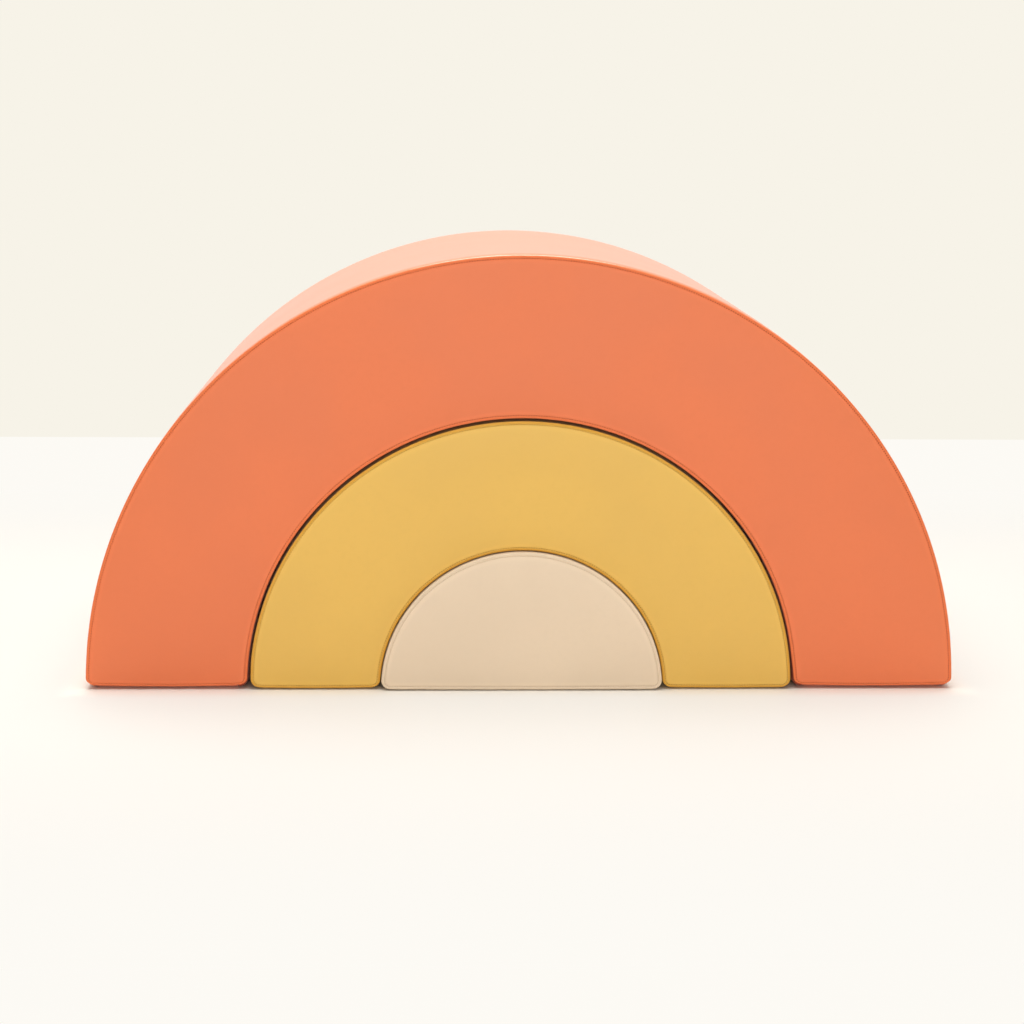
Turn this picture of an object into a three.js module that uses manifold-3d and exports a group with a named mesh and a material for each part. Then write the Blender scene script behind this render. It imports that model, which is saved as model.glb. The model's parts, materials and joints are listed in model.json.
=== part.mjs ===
// A nesting soft play set: an outer arch, a middle arch inside it and a half moon inside that.
// Each piece is a foam core in a sewn cover of coated fabric, closed by a zip in its base.
// Millimetres, +Z up. The set stands on Z = 0 and its front faces look along -Y.
import * as THREE from "three";
import { mergeVertices } from "three/addons/utils/BufferGeometryUtils.js";
import Module from "manifold-3d";

// The three pieces, from the middle outwards.
const MOON_RADIUS = 194.4;
const MIDDLE_WALL = 178; // radial thickness of the middle arch
const OUTER_WALL = 222; // radial thickness of the outer arch
const MOON_NEST_GAP = 2.6; // between the half moon and the middle arch
const MIDDLE_NEST_GAP = 3; // between the middle arch and the outer arch
const MIDDLE_FORWARD = 2; // how far the middle arch stands in front of the outer one
const MOON_FORWARD = 9; // how far the half moon stands in front of the outer arch

// What every piece shares.
const DEPTH = 600; // front to back, over the crowned faces
const FOOT_CORNER = 13; // radius where a side turns under the foot
const COVER = 1.2; // thickness of the coated fabric
const CROWN = 5; // how far a padded face stands proud of the seam round it
const CROWN_REACH = 55; // how far in from the seam a face goes on rising
const CROWN_SHARE = 0.3; // the most of a wall's thickness that this may take from each side
const LIP_WIDTH = 4.5; // sewn edge of a face, from its seam to its topstitching
const LIP_RISE = 1.5; // how far the folded edge stands up between the two
const CHANNEL = 0.6; // how far the topstitching draws the face in
const FIT = 0.3; // gap between pieces that lie against each other

// The zip in each base, parted from back to front.
const ZIP_MARGIN = 43.5; // from each end of the base panel to the slot between the hems
const ZIP_OPENING = 11; // width of that slot
const HEM_WIDTH = 9; // folded edge along the slot
const TAPE_WIDTH = 13; // each woven tape, from the chain to its outer edge
const TAPE_TUCK = 15; // tape sewn in past each end of the slot
const TAPE_THICKNESS = 0.6;
const CHAIN_WIDTH = 6;
const CHAIN_HEIGHT = 2.4;
const STOP_LENGTH = 4; // moulded stop at the front end of the chain
const STOP_OVERHANG = 0.6; // how far the stop stands past the chain's top and bottom
const SLIDER_LENGTH = 14;
const SLIDER_WIDTH = 9;
const SLIDER_NECK = 7.6; // width of the slider where the closed chain leaves it
const SLIDER_PLATE = 1;
const SLIDER_LIFT = 0.5; // air between the slider and the floor
const SLIDER_POST = 3; // length and width of the wedge that parts the chain
const HOOK_HOLE = 1.6; // diameter of the hole that takes a hook in place of a pull

// Facets.
const ARC_STEPS = 36;
const CORNER_STEPS = 4;
const HOLE_STEPS = 4;
const FIRST_RING = 0.12; // rings on a crowned face, as shares of the way from the topstitching to the crown
const MIDDLE_RING = 0.45;

// Derived sizes.
const MIDDLE_INNER = MOON_RADIUS + MOON_NEST_GAP;
const MIDDLE_OUTER = MIDDLE_INNER + MIDDLE_WALL;
const OUTER_INNER = MIDDLE_OUTER + MIDDLE_NEST_GAP;
const OUTER_OUTER = OUTER_INNER + OUTER_WALL;
const SEAM = DEPTH / 2 - CROWN - COVER; // half the distance between the front and back seams
const CORE_INSET = COVER + FIT;
const BAND_HALF = SEAM - FIT;
const ZIP_LENGTH = 2 * (BAND_HALF - ZIP_MARGIN);
const SLIDER_STACK = SLIDER_PLATE + FIT + CHAIN_HEIGHT / 2; // from the chain's middle to a plate's outside
const HEM_HEIGHT = Math.max(2 * COVER, SLIDER_LIFT + SLIDER_STACK - TAPE_THICKNESS / 2 - FIT);
const TAPE_MIDDLE = HEM_HEIGHT + FIT + TAPE_THICKNESS / 2;
const CHAIN_BACK = ZIP_LENGTH / 2 - SLIDER_LENGTH; // where the chain ends inside the parked slider
const CHAIN_FRONT = -ZIP_LENGTH / 2 + FIT;

const wasm = await Module();
wasm.setup();

// Solids

// Turns a closed geometry into a solid that can be joined and cut.
function solidOf(geometry) {
  const bare = geometry.clone();
  bare.deleteAttribute("normal");
  bare.deleteAttribute("uv");
  const merged = mergeVertices(bare, 1e-4);
  return new wasm.Manifold(
    new wasm.Mesh({
      numProp: 3,
      vertProperties: new Float32Array(merged.attributes.position.array),
      triVerts: new Uint32Array(merged.index.array),
    }),
  );
}

// Turns a solid back into a geometry.
function geometryOf(solid) {
  const mesh = solid.getMesh();
  const geometry = new THREE.BufferGeometry();
  geometry.setAttribute("position", new THREE.BufferAttribute(mesh.vertProperties, 3));
  geometry.setIndex(new THREE.BufferAttribute(mesh.triVerts, 1));
  geometry.computeVertexNormals();
  return geometry;
}

// A box between two corners.
function box(low, high) {
  const size = high.map((value, axis) => value - low[axis]);
  const middle = high.map((value, axis) => (value + low[axis]) / 2);
  return new THREE.BoxGeometry(...size).translate(...middle);
}

// An outline in X and Z, drawn out along Y.
function alongY(points, from, to) {
  const geometry = new THREE.ExtrudeGeometry(new THREE.Shape(points), {
    depth: to - from,
    bevelEnabled: false,
  });
  return geometry.rotateX(Math.PI / 2).translate(0, to, 0);
}

// A plan in X and Y, drawn out along Z.
function alongZ(shape, from, to) {
  const geometry = new THREE.ExtrudeGeometry(shape, {
    depth: to - from,
    bevelEnabled: false,
    curveSegments: HOLE_STEPS,
  });
  return geometry.translate(0, 0, from);
}

// Outlines of the arches and the half moon

// Points on an arc in X and Z, running clockwise where the angle falls.
function arc(x, z, radius, from, to, steps) {
  return new THREE.EllipseCurve(x, z, radius, radius, from, to, to < from).getPoints(steps);
}

// Where the corner at a foot is centred: its distance from the middle, and the angle seen from there.
function cornerCentre(reach, height) {
  const across = Math.sqrt(reach ** 2 - height ** 2);
  return { across, turn: Math.atan2(height, across) };
}

// The outer side of a piece, from its right foot over the top to its left foot.
function outerRail(piece, inset, corner) {
  const radius = piece.outer - inset;
  const height = inset + corner;
  const { across, turn } = cornerCentre(radius - corner, height);
  return [
    ...arc(across, height, corner, -Math.PI / 2, turn, CORNER_STEPS),
    ...arc(0, 0, radius, turn, Math.PI - turn, ARC_STEPS).slice(1),
    ...arc(-across, height, corner, Math.PI - turn, 1.5 * Math.PI, CORNER_STEPS).slice(1),
  ];
}

// The inner side of an arch, also from the right foot over the top to the left foot.
function innerRail(piece, inset, corner) {
  const radius = piece.inner + inset;
  const height = inset + corner;
  const { across, turn } = cornerCentre(radius + corner, height);
  return [
    ...arc(across, height, corner, 1.5 * Math.PI, Math.PI + turn, CORNER_STEPS),
    ...arc(0, 0, radius, turn, Math.PI - turn, ARC_STEPS).slice(1),
    ...arc(-across, height, corner, -turn, -Math.PI / 2, CORNER_STEPS).slice(1),
  ];
}

// The whole outline, counter-clockwise as seen from the front.
function outline(piece, inset, corner) {
  const outer = outerRail(piece, inset, corner);
  return piece.inner ? [...outer, ...innerRail(piece, inset, corner).reverse()] : outer;
}

// Left and right ends of the flat under a piece's right foot, or under the whole half moon.
function footSpan(piece) {
  const right = outerRail(piece, 0, FOOT_CORNER)[0].x;
  const left = piece.inner ? innerRail(piece, 0, FOOT_CORNER)[0].x : -right;
  return { left, right, middle: (left + right) / 2 };
}

// Padded forms

// Joins outlines of one piece, listed from back to front, into a closed solid with a cap at each end.
function stack(piece, levels) {
  const loops = levels.map(({ inset, corner, y }) =>
    outline(piece, inset, corner).map((point) => [point.x, y, point.y]),
  );
  const count = loops[0].length;
  const triangles = [];
  for (let level = 0; level + 1 < loops.length; level++) {
    for (let here = 0; here < count; here++) {
      const next = (here + 1) % count;
      const corners = [
        level * count + here,
        level * count + next,
        (level + 1) * count + next,
        (level + 1) * count + here,
      ];
      triangles.push(corners[0], corners[1], corners[2], corners[0], corners[2], corners[3]);
    }
  }
  const last = loops.length - 1;
  const flat = (loop) => loop.map(([x, , z]) => new THREE.Vector2(x, z));
  for (const [a, b, c] of THREE.ShapeUtils.triangulateShape(flat(loops[last]), [])) {
    triangles.push(last * count + a, last * count + b, last * count + c);
  }
  for (const [a, b, c] of THREE.ShapeUtils.triangulateShape(flat(loops[0]), [])) {
    triangles.push(a, c, b);
  }
  const geometry = new THREE.BufferGeometry();
  geometry.setAttribute("position", new THREE.Float32BufferAttribute(loops.flat(2), 3));
  geometry.setIndex(triangles);
  geometry.computeVertexNormals();
  return geometry;
}

// How far in from its seam a piece's face goes on rising: less on a slim wall.
function crownReach(piece) {
  return Math.min(CROWN_REACH, CROWN_SHARE * (piece.outer - piece.inner));
}

// How far the face has risen at an inset from its seam: steep at first and level where the reach ends.
function crownRise(piece, inset) {
  return CROWN * (1 - (1 - inset / crownReach(piece)) ** 3);
}

// A ring on the crowned part of a face, at a share of the way in from the topstitching.
function crownRing(piece, share) {
  const inset = LIP_WIDTH + share * (crownReach(piece) - LIP_WIDTH);
  return { inset, corner: FOOT_CORNER, rise: crownRise(piece, inset) };
}

// A face panel: a sheet with a sewn lip, a topstitched channel and a crown.
// side is -1 for the front and 1 for the back.
function facePanel(piece, side) {
  const seam = { inset: 0, corner: FOOT_CORNER, rise: 0 };
  const lip = { inset: LIP_WIDTH / 2, corner: FOOT_CORNER, rise: LIP_RISE };
  const drawnIn = crownRise(piece, LIP_WIDTH) - CHANNEL;
  const channel = { inset: LIP_WIDTH, corner: FOOT_CORNER, rise: drawnIn };
  const crown = [crownRing(piece, MIDDLE_RING), crownRing(piece, 1)];
  const inside = [seam, channel, ...crown];
  const outside = [seam, lip, channel, crownRing(piece, FIRST_RING), ...crown];
  const level = (ring, offset) => ({ ...ring, y: side * (SEAM + offset + ring.rise) });
  const levels = [
    ...inside.map((ring) => level(ring, 0)).reverse(),
    ...outside.map((ring) => level(ring, COVER)),
  ];
  return stack(piece, side < 0 ? levels : levels.reverse());
}

// The foam inside a cover, crowned at the front and the back as the panels are.
function foamCore(piece) {
  const edge = { inset: CORE_INSET, corner: FOOT_CORNER - CORE_INSET, rise: 0 };
  const rings = [edge, crownRing(piece, MIDDLE_RING), crownRing(piece, 1)];
  const back = rings.map((ring) => ({ ...ring, y: BAND_HALF + ring.rise })).reverse();
  const front = rings.map((ring) => ({ ...ring, y: -BAND_HALF - ring.rise }));
  return stack(piece, [...back, ...front]);
}

// A gusset between the two face panels, bent along one side of the outline and round its corners.
function band(piece, rail) {
  const outside = rail(piece, 0, FOOT_CORNER);
  const inside = rail(piece, COVER, FOOT_CORNER - COVER).reverse();
  return alongY([...outside, ...inside], -BAND_HALF, BAND_HALF);
}

// The plain panel under a foot, between the two gussets.
function footPanel(span) {
  return box([-span.right + FIT, -BAND_HALF, 0], [-span.left - FIT, BAND_HALF, COVER]);
}

// The zip

// Half of a zipped base panel: it meets its twin past the zip and folds back in a hem along the slot.
// side is -1 for the half nearer the middle of an arch and 1 for the other.
function zipStrip(span, side) {
  const edge = side < 0 ? span.left + FIT : span.right - FIT;
  const seam = span.middle + (side * FIT) / 2;
  const slot = span.middle + (side * ZIP_OPENING) / 2;
  const plan = new THREE.Shape();
  plan.moveTo(edge, -BAND_HALF);
  plan.lineTo(seam, -BAND_HALF);
  plan.lineTo(seam, -ZIP_LENGTH / 2);
  plan.lineTo(slot, -ZIP_LENGTH / 2);
  plan.lineTo(slot, ZIP_LENGTH / 2);
  plan.lineTo(seam, ZIP_LENGTH / 2);
  plan.lineTo(seam, BAND_HALF);
  plan.lineTo(edge, BAND_HALF);
  plan.closePath();
  const fold = slot + side * HEM_WIDTH;
  const hem = box(
    [Math.min(slot, fold), -ZIP_LENGTH / 2, 0],
    [Math.max(slot, fold), ZIP_LENGTH / 2, HEM_HEIGHT],
  );
  return geometryOf(solidOf(alongZ(plan, 0, COVER)).add(solidOf(hem)));
}

// One woven tape, lying on the hem beside the chain.
function zipTape(span, side) {
  const near = span.middle + side * (CHAIN_WIDTH / 2 + FIT);
  const far = near + side * TAPE_WIDTH;
  const half = ZIP_LENGTH / 2 + TAPE_TUCK;
  return box(
    [Math.min(near, far), -half, TAPE_MIDDLE - TAPE_THICKNESS / 2],
    [Math.max(near, far), half, TAPE_MIDDLE + TAPE_THICKNESS / 2],
  );
}

// The closed chain, with rounded shoulders and a stop at its front end.
function zipChain(span) {
  const wide = CHAIN_WIDTH / 2;
  const high = CHAIN_HEIGHT / 2;
  const shoulder = high / 2;
  const section = [
    [wide, shoulder],
    [wide - shoulder, high],
    [shoulder - wide, high],
    [-wide, shoulder],
    [-wide, -shoulder],
    [shoulder - wide, -high],
    [wide - shoulder, -high],
    [wide, -shoulder],
  ].map(([x, z]) => new THREE.Vector2(span.middle + x, TAPE_MIDDLE + z));
  const stopHalf = high + STOP_OVERHANG;
  const stop = box(
    [span.middle - wide, CHAIN_FRONT, TAPE_MIDDLE - stopHalf],
    [span.middle + wide, CHAIN_FRONT + STOP_LENGTH, TAPE_MIDDLE + stopHalf],
  );
  const links = alongY(section, CHAIN_FRONT + STOP_LENGTH / 2, CHAIN_BACK);
  return geometryOf(solidOf(links).add(solidOf(stop)));
}

// A slider plate seen from below: broad shoulders at the back, a neck where the closed chain leaves.
function sliderPlan(span) {
  const front = CHAIN_BACK - SLIDER_LENGTH / 2;
  const back = front + SLIDER_LENGTH;
  const round = SLIDER_WIDTH / 4;
  const plan = new THREE.Shape();
  plan.moveTo(span.middle - SLIDER_NECK / 2, front);
  plan.lineTo(span.middle + SLIDER_NECK / 2, front);
  plan.lineTo(span.middle + SLIDER_WIDTH / 2, CHAIN_BACK);
  plan.lineTo(span.middle + SLIDER_WIDTH / 2, back - round);
  plan.absarc(span.middle + SLIDER_WIDTH / 2 - round, back - round, round, 0, Math.PI / 2);
  plan.absarc(span.middle - SLIDER_WIDTH / 2 + round, back - round, round, Math.PI / 2, Math.PI);
  plan.lineTo(span.middle - SLIDER_WIDTH / 2, CHAIN_BACK);
  plan.closePath();
  return plan;
}

// The slider, parked at the back: two plates on a wedge-shaped post, with flanges that hold the chain in.
function zipSlider(span) {
  const lowPlate = TAPE_MIDDLE - SLIDER_STACK;
  const highPlate = TAPE_MIDDLE + SLIDER_STACK - SLIDER_PLATE;
  const postFront = CHAIN_BACK + FIT;
  const lowPlan = sliderPlan(span);
  const hole = new THREE.Path();
  hole.absarc(span.middle, CHAIN_BACK - SLIDER_LENGTH / 4, HOOK_HOLE / 2, 0, 2 * Math.PI, true);
  lowPlan.holes.push(hole);
  const post = new THREE.Shape();
  post.moveTo(span.middle, postFront);
  post.lineTo(span.middle + SLIDER_POST / 2, postFront + SLIDER_POST / 2);
  post.lineTo(span.middle, postFront + SLIDER_POST);
  post.lineTo(span.middle - SLIDER_POST / 2, postFront + SLIDER_POST / 2);
  post.closePath();
  const pieces = [
    alongZ(lowPlan, lowPlate, lowPlate + SLIDER_PLATE),
    alongZ(sliderPlan(span), highPlate, highPlate + SLIDER_PLATE),
    alongZ(post, lowPlate + SLIDER_PLATE / 2, highPlate + SLIDER_PLATE / 2),
  ];
  const flangeIn = CHAIN_WIDTH / 2 + FIT;
  const tapeGap = TAPE_THICKNESS / 2 + FIT;
  for (const side of [-1, 1]) {
    const x = [flangeIn, SLIDER_NECK / 2].map((from) => span.middle + side * from);
    const y = [CHAIN_BACK - SLIDER_LENGTH / 2, CHAIN_BACK + SLIDER_LENGTH / 4];
    pieces.push(
      box([Math.min(...x), y[0], lowPlate], [Math.max(...x), y[1], TAPE_MIDDLE - tapeGap]),
      box([Math.min(...x), y[0], TAPE_MIDDLE + tapeGap], [Math.max(...x), y[1], highPlate + SLIDER_PLATE]),
    );
  }
  return geometryOf(pieces.map(solidOf).reduce((whole, piece) => whole.add(piece)));
}

// Foam that is pressed in to make room for the zip.
function zipRecess(span) {
  const half = Math.max(CHAIN_WIDTH / 2 + FIT + TAPE_WIDTH, ZIP_OPENING / 2 + HEM_WIDTH) + FIT;
  const long = ZIP_LENGTH / 2 + TAPE_TUCK + FIT;
  return box(
    [span.middle - half, -long, -CORE_INSET],
    [span.middle + half, long, TAPE_MIDDLE + SLIDER_STACK + FIT],
  );
}

// Assembly

// A finish: a colour, how rough it is and how much of a metal.
function finish(color, roughness, metalness = 0) {
  return new THREE.MeshStandardMaterial({ color, roughness, metalness });
}

// All sub-parts of one piece, named after it.
function softPiece(piece) {
  const group = new THREE.Group();
  const cover = finish(piece.colour, 0.5);
  const foam = finish(0xf1ead6, 0.95);
  const tape = finish(piece.trim, 0.85);
  const slider = finish(piece.trim, 0.35, 0.6);
  const add = (name, geometry, material) => {
    const mesh = new THREE.Mesh(geometry, material);
    mesh.name = `${piece.name}_${name}`;
    group.add(mesh);
  };
  const span = footSpan(piece);
  add("foam_core", geometryOf(solidOf(foamCore(piece)).subtract(solidOf(zipRecess(span)))), foam);
  add("front_panel", facePanel(piece, -1), cover);
  add("back_panel", facePanel(piece, 1), cover);
  add("crown_band", band(piece, outerRail), cover);
  if (piece.inner) {
    add("tunnel_band", band(piece, innerRail), cover);
    add("plain_foot_panel", footPanel(span), cover);
  }
  add("zip_strip_left", zipStrip(span, -1), cover);
  add("zip_strip_right", zipStrip(span, 1), cover);
  add("zip_tape_left", zipTape(span, -1), tape);
  add("zip_tape_right", zipTape(span, 1), tape);
  add("zip_chain", zipChain(span), tape);
  add("zip_slider", zipSlider(span), slider);
  group.position.y = -piece.forward;
  return group;
}

const PIECES = [
  { name: "outer", outer: OUTER_OUTER, inner: OUTER_INNER, forward: 0, colour: 0xe97e56, trim: 0xc9603c },
  {
    name: "middle",
    outer: MIDDLE_OUTER,
    inner: MIDDLE_INNER,
    forward: MIDDLE_FORWARD,
    colour: 0xe5b75f,
    trim: 0xc4923c,
  },
  { name: "moon", outer: MOON_RADIUS, inner: 0, forward: MOON_FORWARD, colour: 0xe6cdaf, trim: 0xc6a988 },
];

const playSet = new THREE.Group();
for (const piece of PIECES) {
  playSet.add(softPiece(piece));
}

export default playSet;
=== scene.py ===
"""Looks of a nesting soft play set: two foam arches and a half moon in sewn synthetic leather covers.

Metres, +Z up. The set stands on the floor and its front faces look along -Y. Each cover is made of face
panels, gussets and foot panels over a foam core, and closes with a coil zip under a foot.
"""
from __future__ import annotations

import json
import logging
import math
from dataclasses import dataclass, field
from enum import Enum
from typing import Any, Sequence, Union

import bmesh
import bpy
import numpy as np
from mathutils import Matrix, Vector

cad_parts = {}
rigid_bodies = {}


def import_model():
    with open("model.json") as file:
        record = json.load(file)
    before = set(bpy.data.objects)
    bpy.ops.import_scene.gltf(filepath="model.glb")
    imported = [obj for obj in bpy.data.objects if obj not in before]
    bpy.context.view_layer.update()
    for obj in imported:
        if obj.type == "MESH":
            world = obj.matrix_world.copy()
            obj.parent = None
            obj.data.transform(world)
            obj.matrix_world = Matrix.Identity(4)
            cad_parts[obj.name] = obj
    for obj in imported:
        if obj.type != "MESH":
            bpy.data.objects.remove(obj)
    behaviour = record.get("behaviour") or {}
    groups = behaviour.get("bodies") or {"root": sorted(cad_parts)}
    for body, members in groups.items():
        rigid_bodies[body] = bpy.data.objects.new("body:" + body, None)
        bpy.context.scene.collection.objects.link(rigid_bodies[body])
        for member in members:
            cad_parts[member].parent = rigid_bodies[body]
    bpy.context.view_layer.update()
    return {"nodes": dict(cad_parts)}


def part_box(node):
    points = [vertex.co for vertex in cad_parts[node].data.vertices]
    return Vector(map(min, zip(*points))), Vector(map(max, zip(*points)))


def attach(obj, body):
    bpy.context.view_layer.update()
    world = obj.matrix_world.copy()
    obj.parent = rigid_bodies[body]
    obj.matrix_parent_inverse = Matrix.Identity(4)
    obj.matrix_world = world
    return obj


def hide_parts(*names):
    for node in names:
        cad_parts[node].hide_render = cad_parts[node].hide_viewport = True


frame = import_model()

MM = 0.001
COVER = 1.2 * MM  # thickness of the coated fabric
FOOT_CORNER = 13 * MM  # radius where a side turns under the foot
TOUCHING = 0.01 * MM  # points closer than this count as one
ANY_PHASE = 6.3  # random phases run from 0 to this, about a full turn
TUNNEL_SEED = 11  # added to a piece's seed for its tunnel's gusset
CROWN_SEED = 12  # added to a piece's seed for its crown
TAPE_SEED = 71
RIPPLE_HEIGHTS = (0.02, 0.05)  # least and largest, in millimetres
GUSSET_RIPPLES = (0.31, 0.19, 0.11)  # lengths
TAPE_RIPPLES = (0.02, 0.09)  # shortest and longest

# Rows of points on a panel, by how far they are from its seam or, for the padding, from its topstitching
GUSSET_ROWS = np.array([0.25, 0.6, 1.1, 1.8, 3.0, 5.0, 7.5, 10.5, 15.0, 22.0, 30.0, 40.0, 52.0, 68.0]) * MM
FOOT_ROWS = np.array([0.15, 0.6, 1.1, 1.8, 3.0, 5.0, 7.5, 10.5, 14.0, 18.0]) * MM
STRIP_END_ROWS = np.array([18.0, 14.0, 10.5, 7.5, 5.0, 3.0, 1.8, 1.0, 0.5, 0.2]) * MM
STRIP_SIDE_ROWS = np.array([0.0, 0.5, 1.1, 2.0, 3.4, 6.0, 20.0]) * MM
PADDING_ROWS = np.array([0.0, 0.5, 1.1, 1.9, 3.0, 4.6, 7.0, 10.5, 16.0]) * MM
CHANNEL_SHARES = (0.25, 0.5, 0.7, 0.84, 0.93)  # rows down from the bead to the topstitching

SEAM_MARK = "seam"  # point attribute: distance from the nearest seam, on top of one of the two below if any
UNSTITCHED = 1.0  # panels without stitches
NESTED = 2.0  # gussets that lie against another piece in the nest
STITCH_MARK = "stitches"  # texture coordinates of a face: stitches along its edge
UP_MARK = "up"  # point attribute of a sewing line: which way the thread stands up
FOOT_PANELS = ("_foot_cover", "_zip_cover_left", "_zip_cover_right")  # endings of their names
ZIP_PARTS = ("_tape_left", "_tape_right", "_coil", "_zip_stop", "_zip_slider")  # endings of their names
LOG = logging.getLogger("play_set")

Color = tuple[float, float, float]
Place = tuple[float, float, float]
Rows = Union[np.ndarray, float]
Feed = Union["Socket", float, int, str, Sequence[float], bpy.types.Material]


class Side(Enum):
    """The two faces of a piece, by the way they look along Y."""

    FRONT = -1
    BACK = 1


class Half(Enum):
    """The two sides of a zip, by the way they lie along X."""

    LEFT = -1
    RIGHT = 1


# Node trees


class Socket:
    """One output of a node, whose operators add Math nodes to its tree."""

    def __init__(self, graph: Graph, node: bpy.types.Node, output: Union[int, str]) -> None:
        """Keeps which output is meant.

        Args:
            graph: The tree.
            node: The node in it.
            output: The node's output.
        """
        self.graph = graph
        self.node = node
        self.output = output

    def link(self) -> bpy.types.NodeSocket:
        """The output that links start from."""
        return self.node.outputs[self.output]

    def _math(self, operation: str, first: Feed, second: Feed) -> Socket:
        """Adds a Math node on two values."""
        return self.graph.node("ShaderNodeMath", {"operation": operation}, {0: first, 1: second})

    def __add__(self, other: Feed) -> Socket:
        """The sum."""
        return self._math("ADD", self, other)

    def __radd__(self, other: Feed) -> Socket:
        """The sum, with a number first."""
        return self._math("ADD", other, self)

    def __sub__(self, other: Feed) -> Socket:
        """The difference."""
        return self._math("SUBTRACT", self, other)

    def __rsub__(self, other: Feed) -> Socket:
        """The difference, with a number first."""
        return self._math("SUBTRACT", other, self)

    def __mul__(self, other: Feed) -> Socket:
        """The product."""
        return self._math("MULTIPLY", self, other)

    def __rmul__(self, other: Feed) -> Socket:
        """The product, with a number first."""
        return self._math("MULTIPLY", other, self)

    def __mod__(self, other: Feed) -> Socket:
        """What is left after a division."""
        return self._math("MODULO", self, other)

    def __abs__(self) -> Socket:
        """The value without its sign."""
        return self._math("ABSOLUTE", self, 0.0)


class Graph:
    """A node tree under construction."""

    def __init__(self, tree: bpy.types.NodeTree) -> None:
        """Empties the tree, ready for new nodes."""
        self.tree = tree
        tree.nodes.clear()

    def node(
        self,
        kind: str,
        settings: Union[dict[str, Any], None] = None,
        feeds: Union[dict[Union[int, str], Feed], None] = None,
        output: Union[int, str] = 0,
    ) -> Socket:
        """Adds a node.

        Args:
            kind: The node's type.
            settings: Its properties, set before its sockets.
            feeds: A value or a link for each named or numbered input.
            output: The output that the result stands for.

        Returns:
            The chosen output.
        """
        made = self.tree.nodes.new(kind)
        for name, value in (settings or {}).items():
            setattr(made, name, value)
        for name, value in (feeds or {}).items():
            self._feed(made.inputs[name], value)
        return Socket(self, made, output)

    def _feed(self, target: bpy.types.NodeSocket, value: Feed) -> None:
        """Links an output to an input, or sets the input's own value.

        Args:
            target: The input.
            value: The output, or the value.
        """
        if isinstance(value, Socket):
            self.tree.links.new(value.link(), target)
        elif target.type == "RGBA":
            target.default_value = (*value, 1.0)
        else:
            target.default_value = value


class Surface(Graph):
    """A material's node tree, with the few patterns that the finishes share."""

    def __init__(self, name: str) -> None:
        """Makes an empty material.

        Args:
            name: Its name.
        """
        self.material = bpy.data.materials.new(name)
        self.material.use_nodes = True
        super().__init__(self.material.node_tree)
        self.place = self.node("ShaderNodeTexCoord", output="Object")

    def noise(self, size: float, detail: float = 2.0) -> Socket:
        """Cloudy noise from 0 to 1, by the width of its largest clouds and its number of finer layers."""
        feeds = {"Vector": self.place, "Scale": 1 / size, "Detail": detail}
        return self.node("ShaderNodeTexNoise", {}, feeds)

    def cells(self, size: float, smoothness: float) -> Socket:
        """Distance from scattered cell centres, as in leather grain, by the width of a cell."""
        feeds = {"Vector": self.place, "Scale": 1 / size, "Smoothness": smoothness}
        return self.node("ShaderNodeTexVoronoi", {"feature": "SMOOTH_F1"}, feeds)

    def ramp(self, value: Feed, start: float, end: float, low: float = 0.0, high: float = 1.0) -> Socket:
        """Eases from low to high while a value goes from the start to the end."""
        feeds = {"Value": value, "From Min": start, "From Max": end, "To Min": low, "To Max": high}
        return self.node("ShaderNodeMapRange", {"interpolation_type": "SMOOTHSTEP"}, feeds)

    def blend(self, share: Feed, first: Union[Socket, Color], second: Union[Socket, Color]) -> Socket:
        """Mixes two colours, with that share of the second one."""
        feeds = {0: share, 6: first, 7: second}
        return self.node("ShaderNodeMix", {"data_type": "RGBA"}, feeds, 2)

    def bump(
        self, height: Socket, depth: float, strength: float, below: Union[Socket, None] = None
    ) -> Socket:
        """Turns a height pattern into a normal.

        Args:
            height: The pattern.
            depth: What a height of 1 stands for, in metres.
            strength: How much of it shows.
            below: A normal that it lies on.

        Returns:
            The normal.
        """
        feeds: dict[Union[int, str], Feed] = {"Height": height, "Distance": depth, "Strength": strength}
        if below is not None:
            feeds["Normal"] = below
        return self.node("ShaderNodeBump", {}, feeds)

    def shade(self, **feeds: Feed) -> bpy.types.Material:
        """Ends the tree in a Principled shader.

        Args:
            feeds: Values or links for its sockets, with spaces as underscores.

        Returns:
            The finished material.
        """
        named = {name.replace("_", " "): value for name, value in feeds.items()}
        shader = self.node("ShaderNodeBsdfPrincipled", {}, named)
        self.node("ShaderNodeOutputMaterial", {}, {"Surface": shader})
        return self.material


def tint(color: Color, factor: float) -> Color:
    """A colour made darker, or lighter, by a factor."""
    return tuple(min(part * factor, 1.0) for part in color)


def deepened(color: Color, meetings: float = 1.5) -> Color:
    """A colour as it looks beside itself, where light has met it more than once."""
    return tuple(part**meetings for part in color)


def folded(color: Color, shade: float = 0.6) -> Color:
    """A colour as it looks down in a fold of itself."""
    return tint(deepened(color), shade)


# Finishes

WHITE = (1.0, 1.0, 1.0)


@dataclass(frozen=True)
class Finish:
    """What every finish has.

    Attributes:
        name: Name of the material.
        color: Its colour.
    """

    name: str
    color: Color

    def shades(self, darker: float, lighter: float) -> tuple[Color, Color]:
        """Two shades of its colour."""
        return tint(self.color, darker), tint(self.color, lighter)


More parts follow.
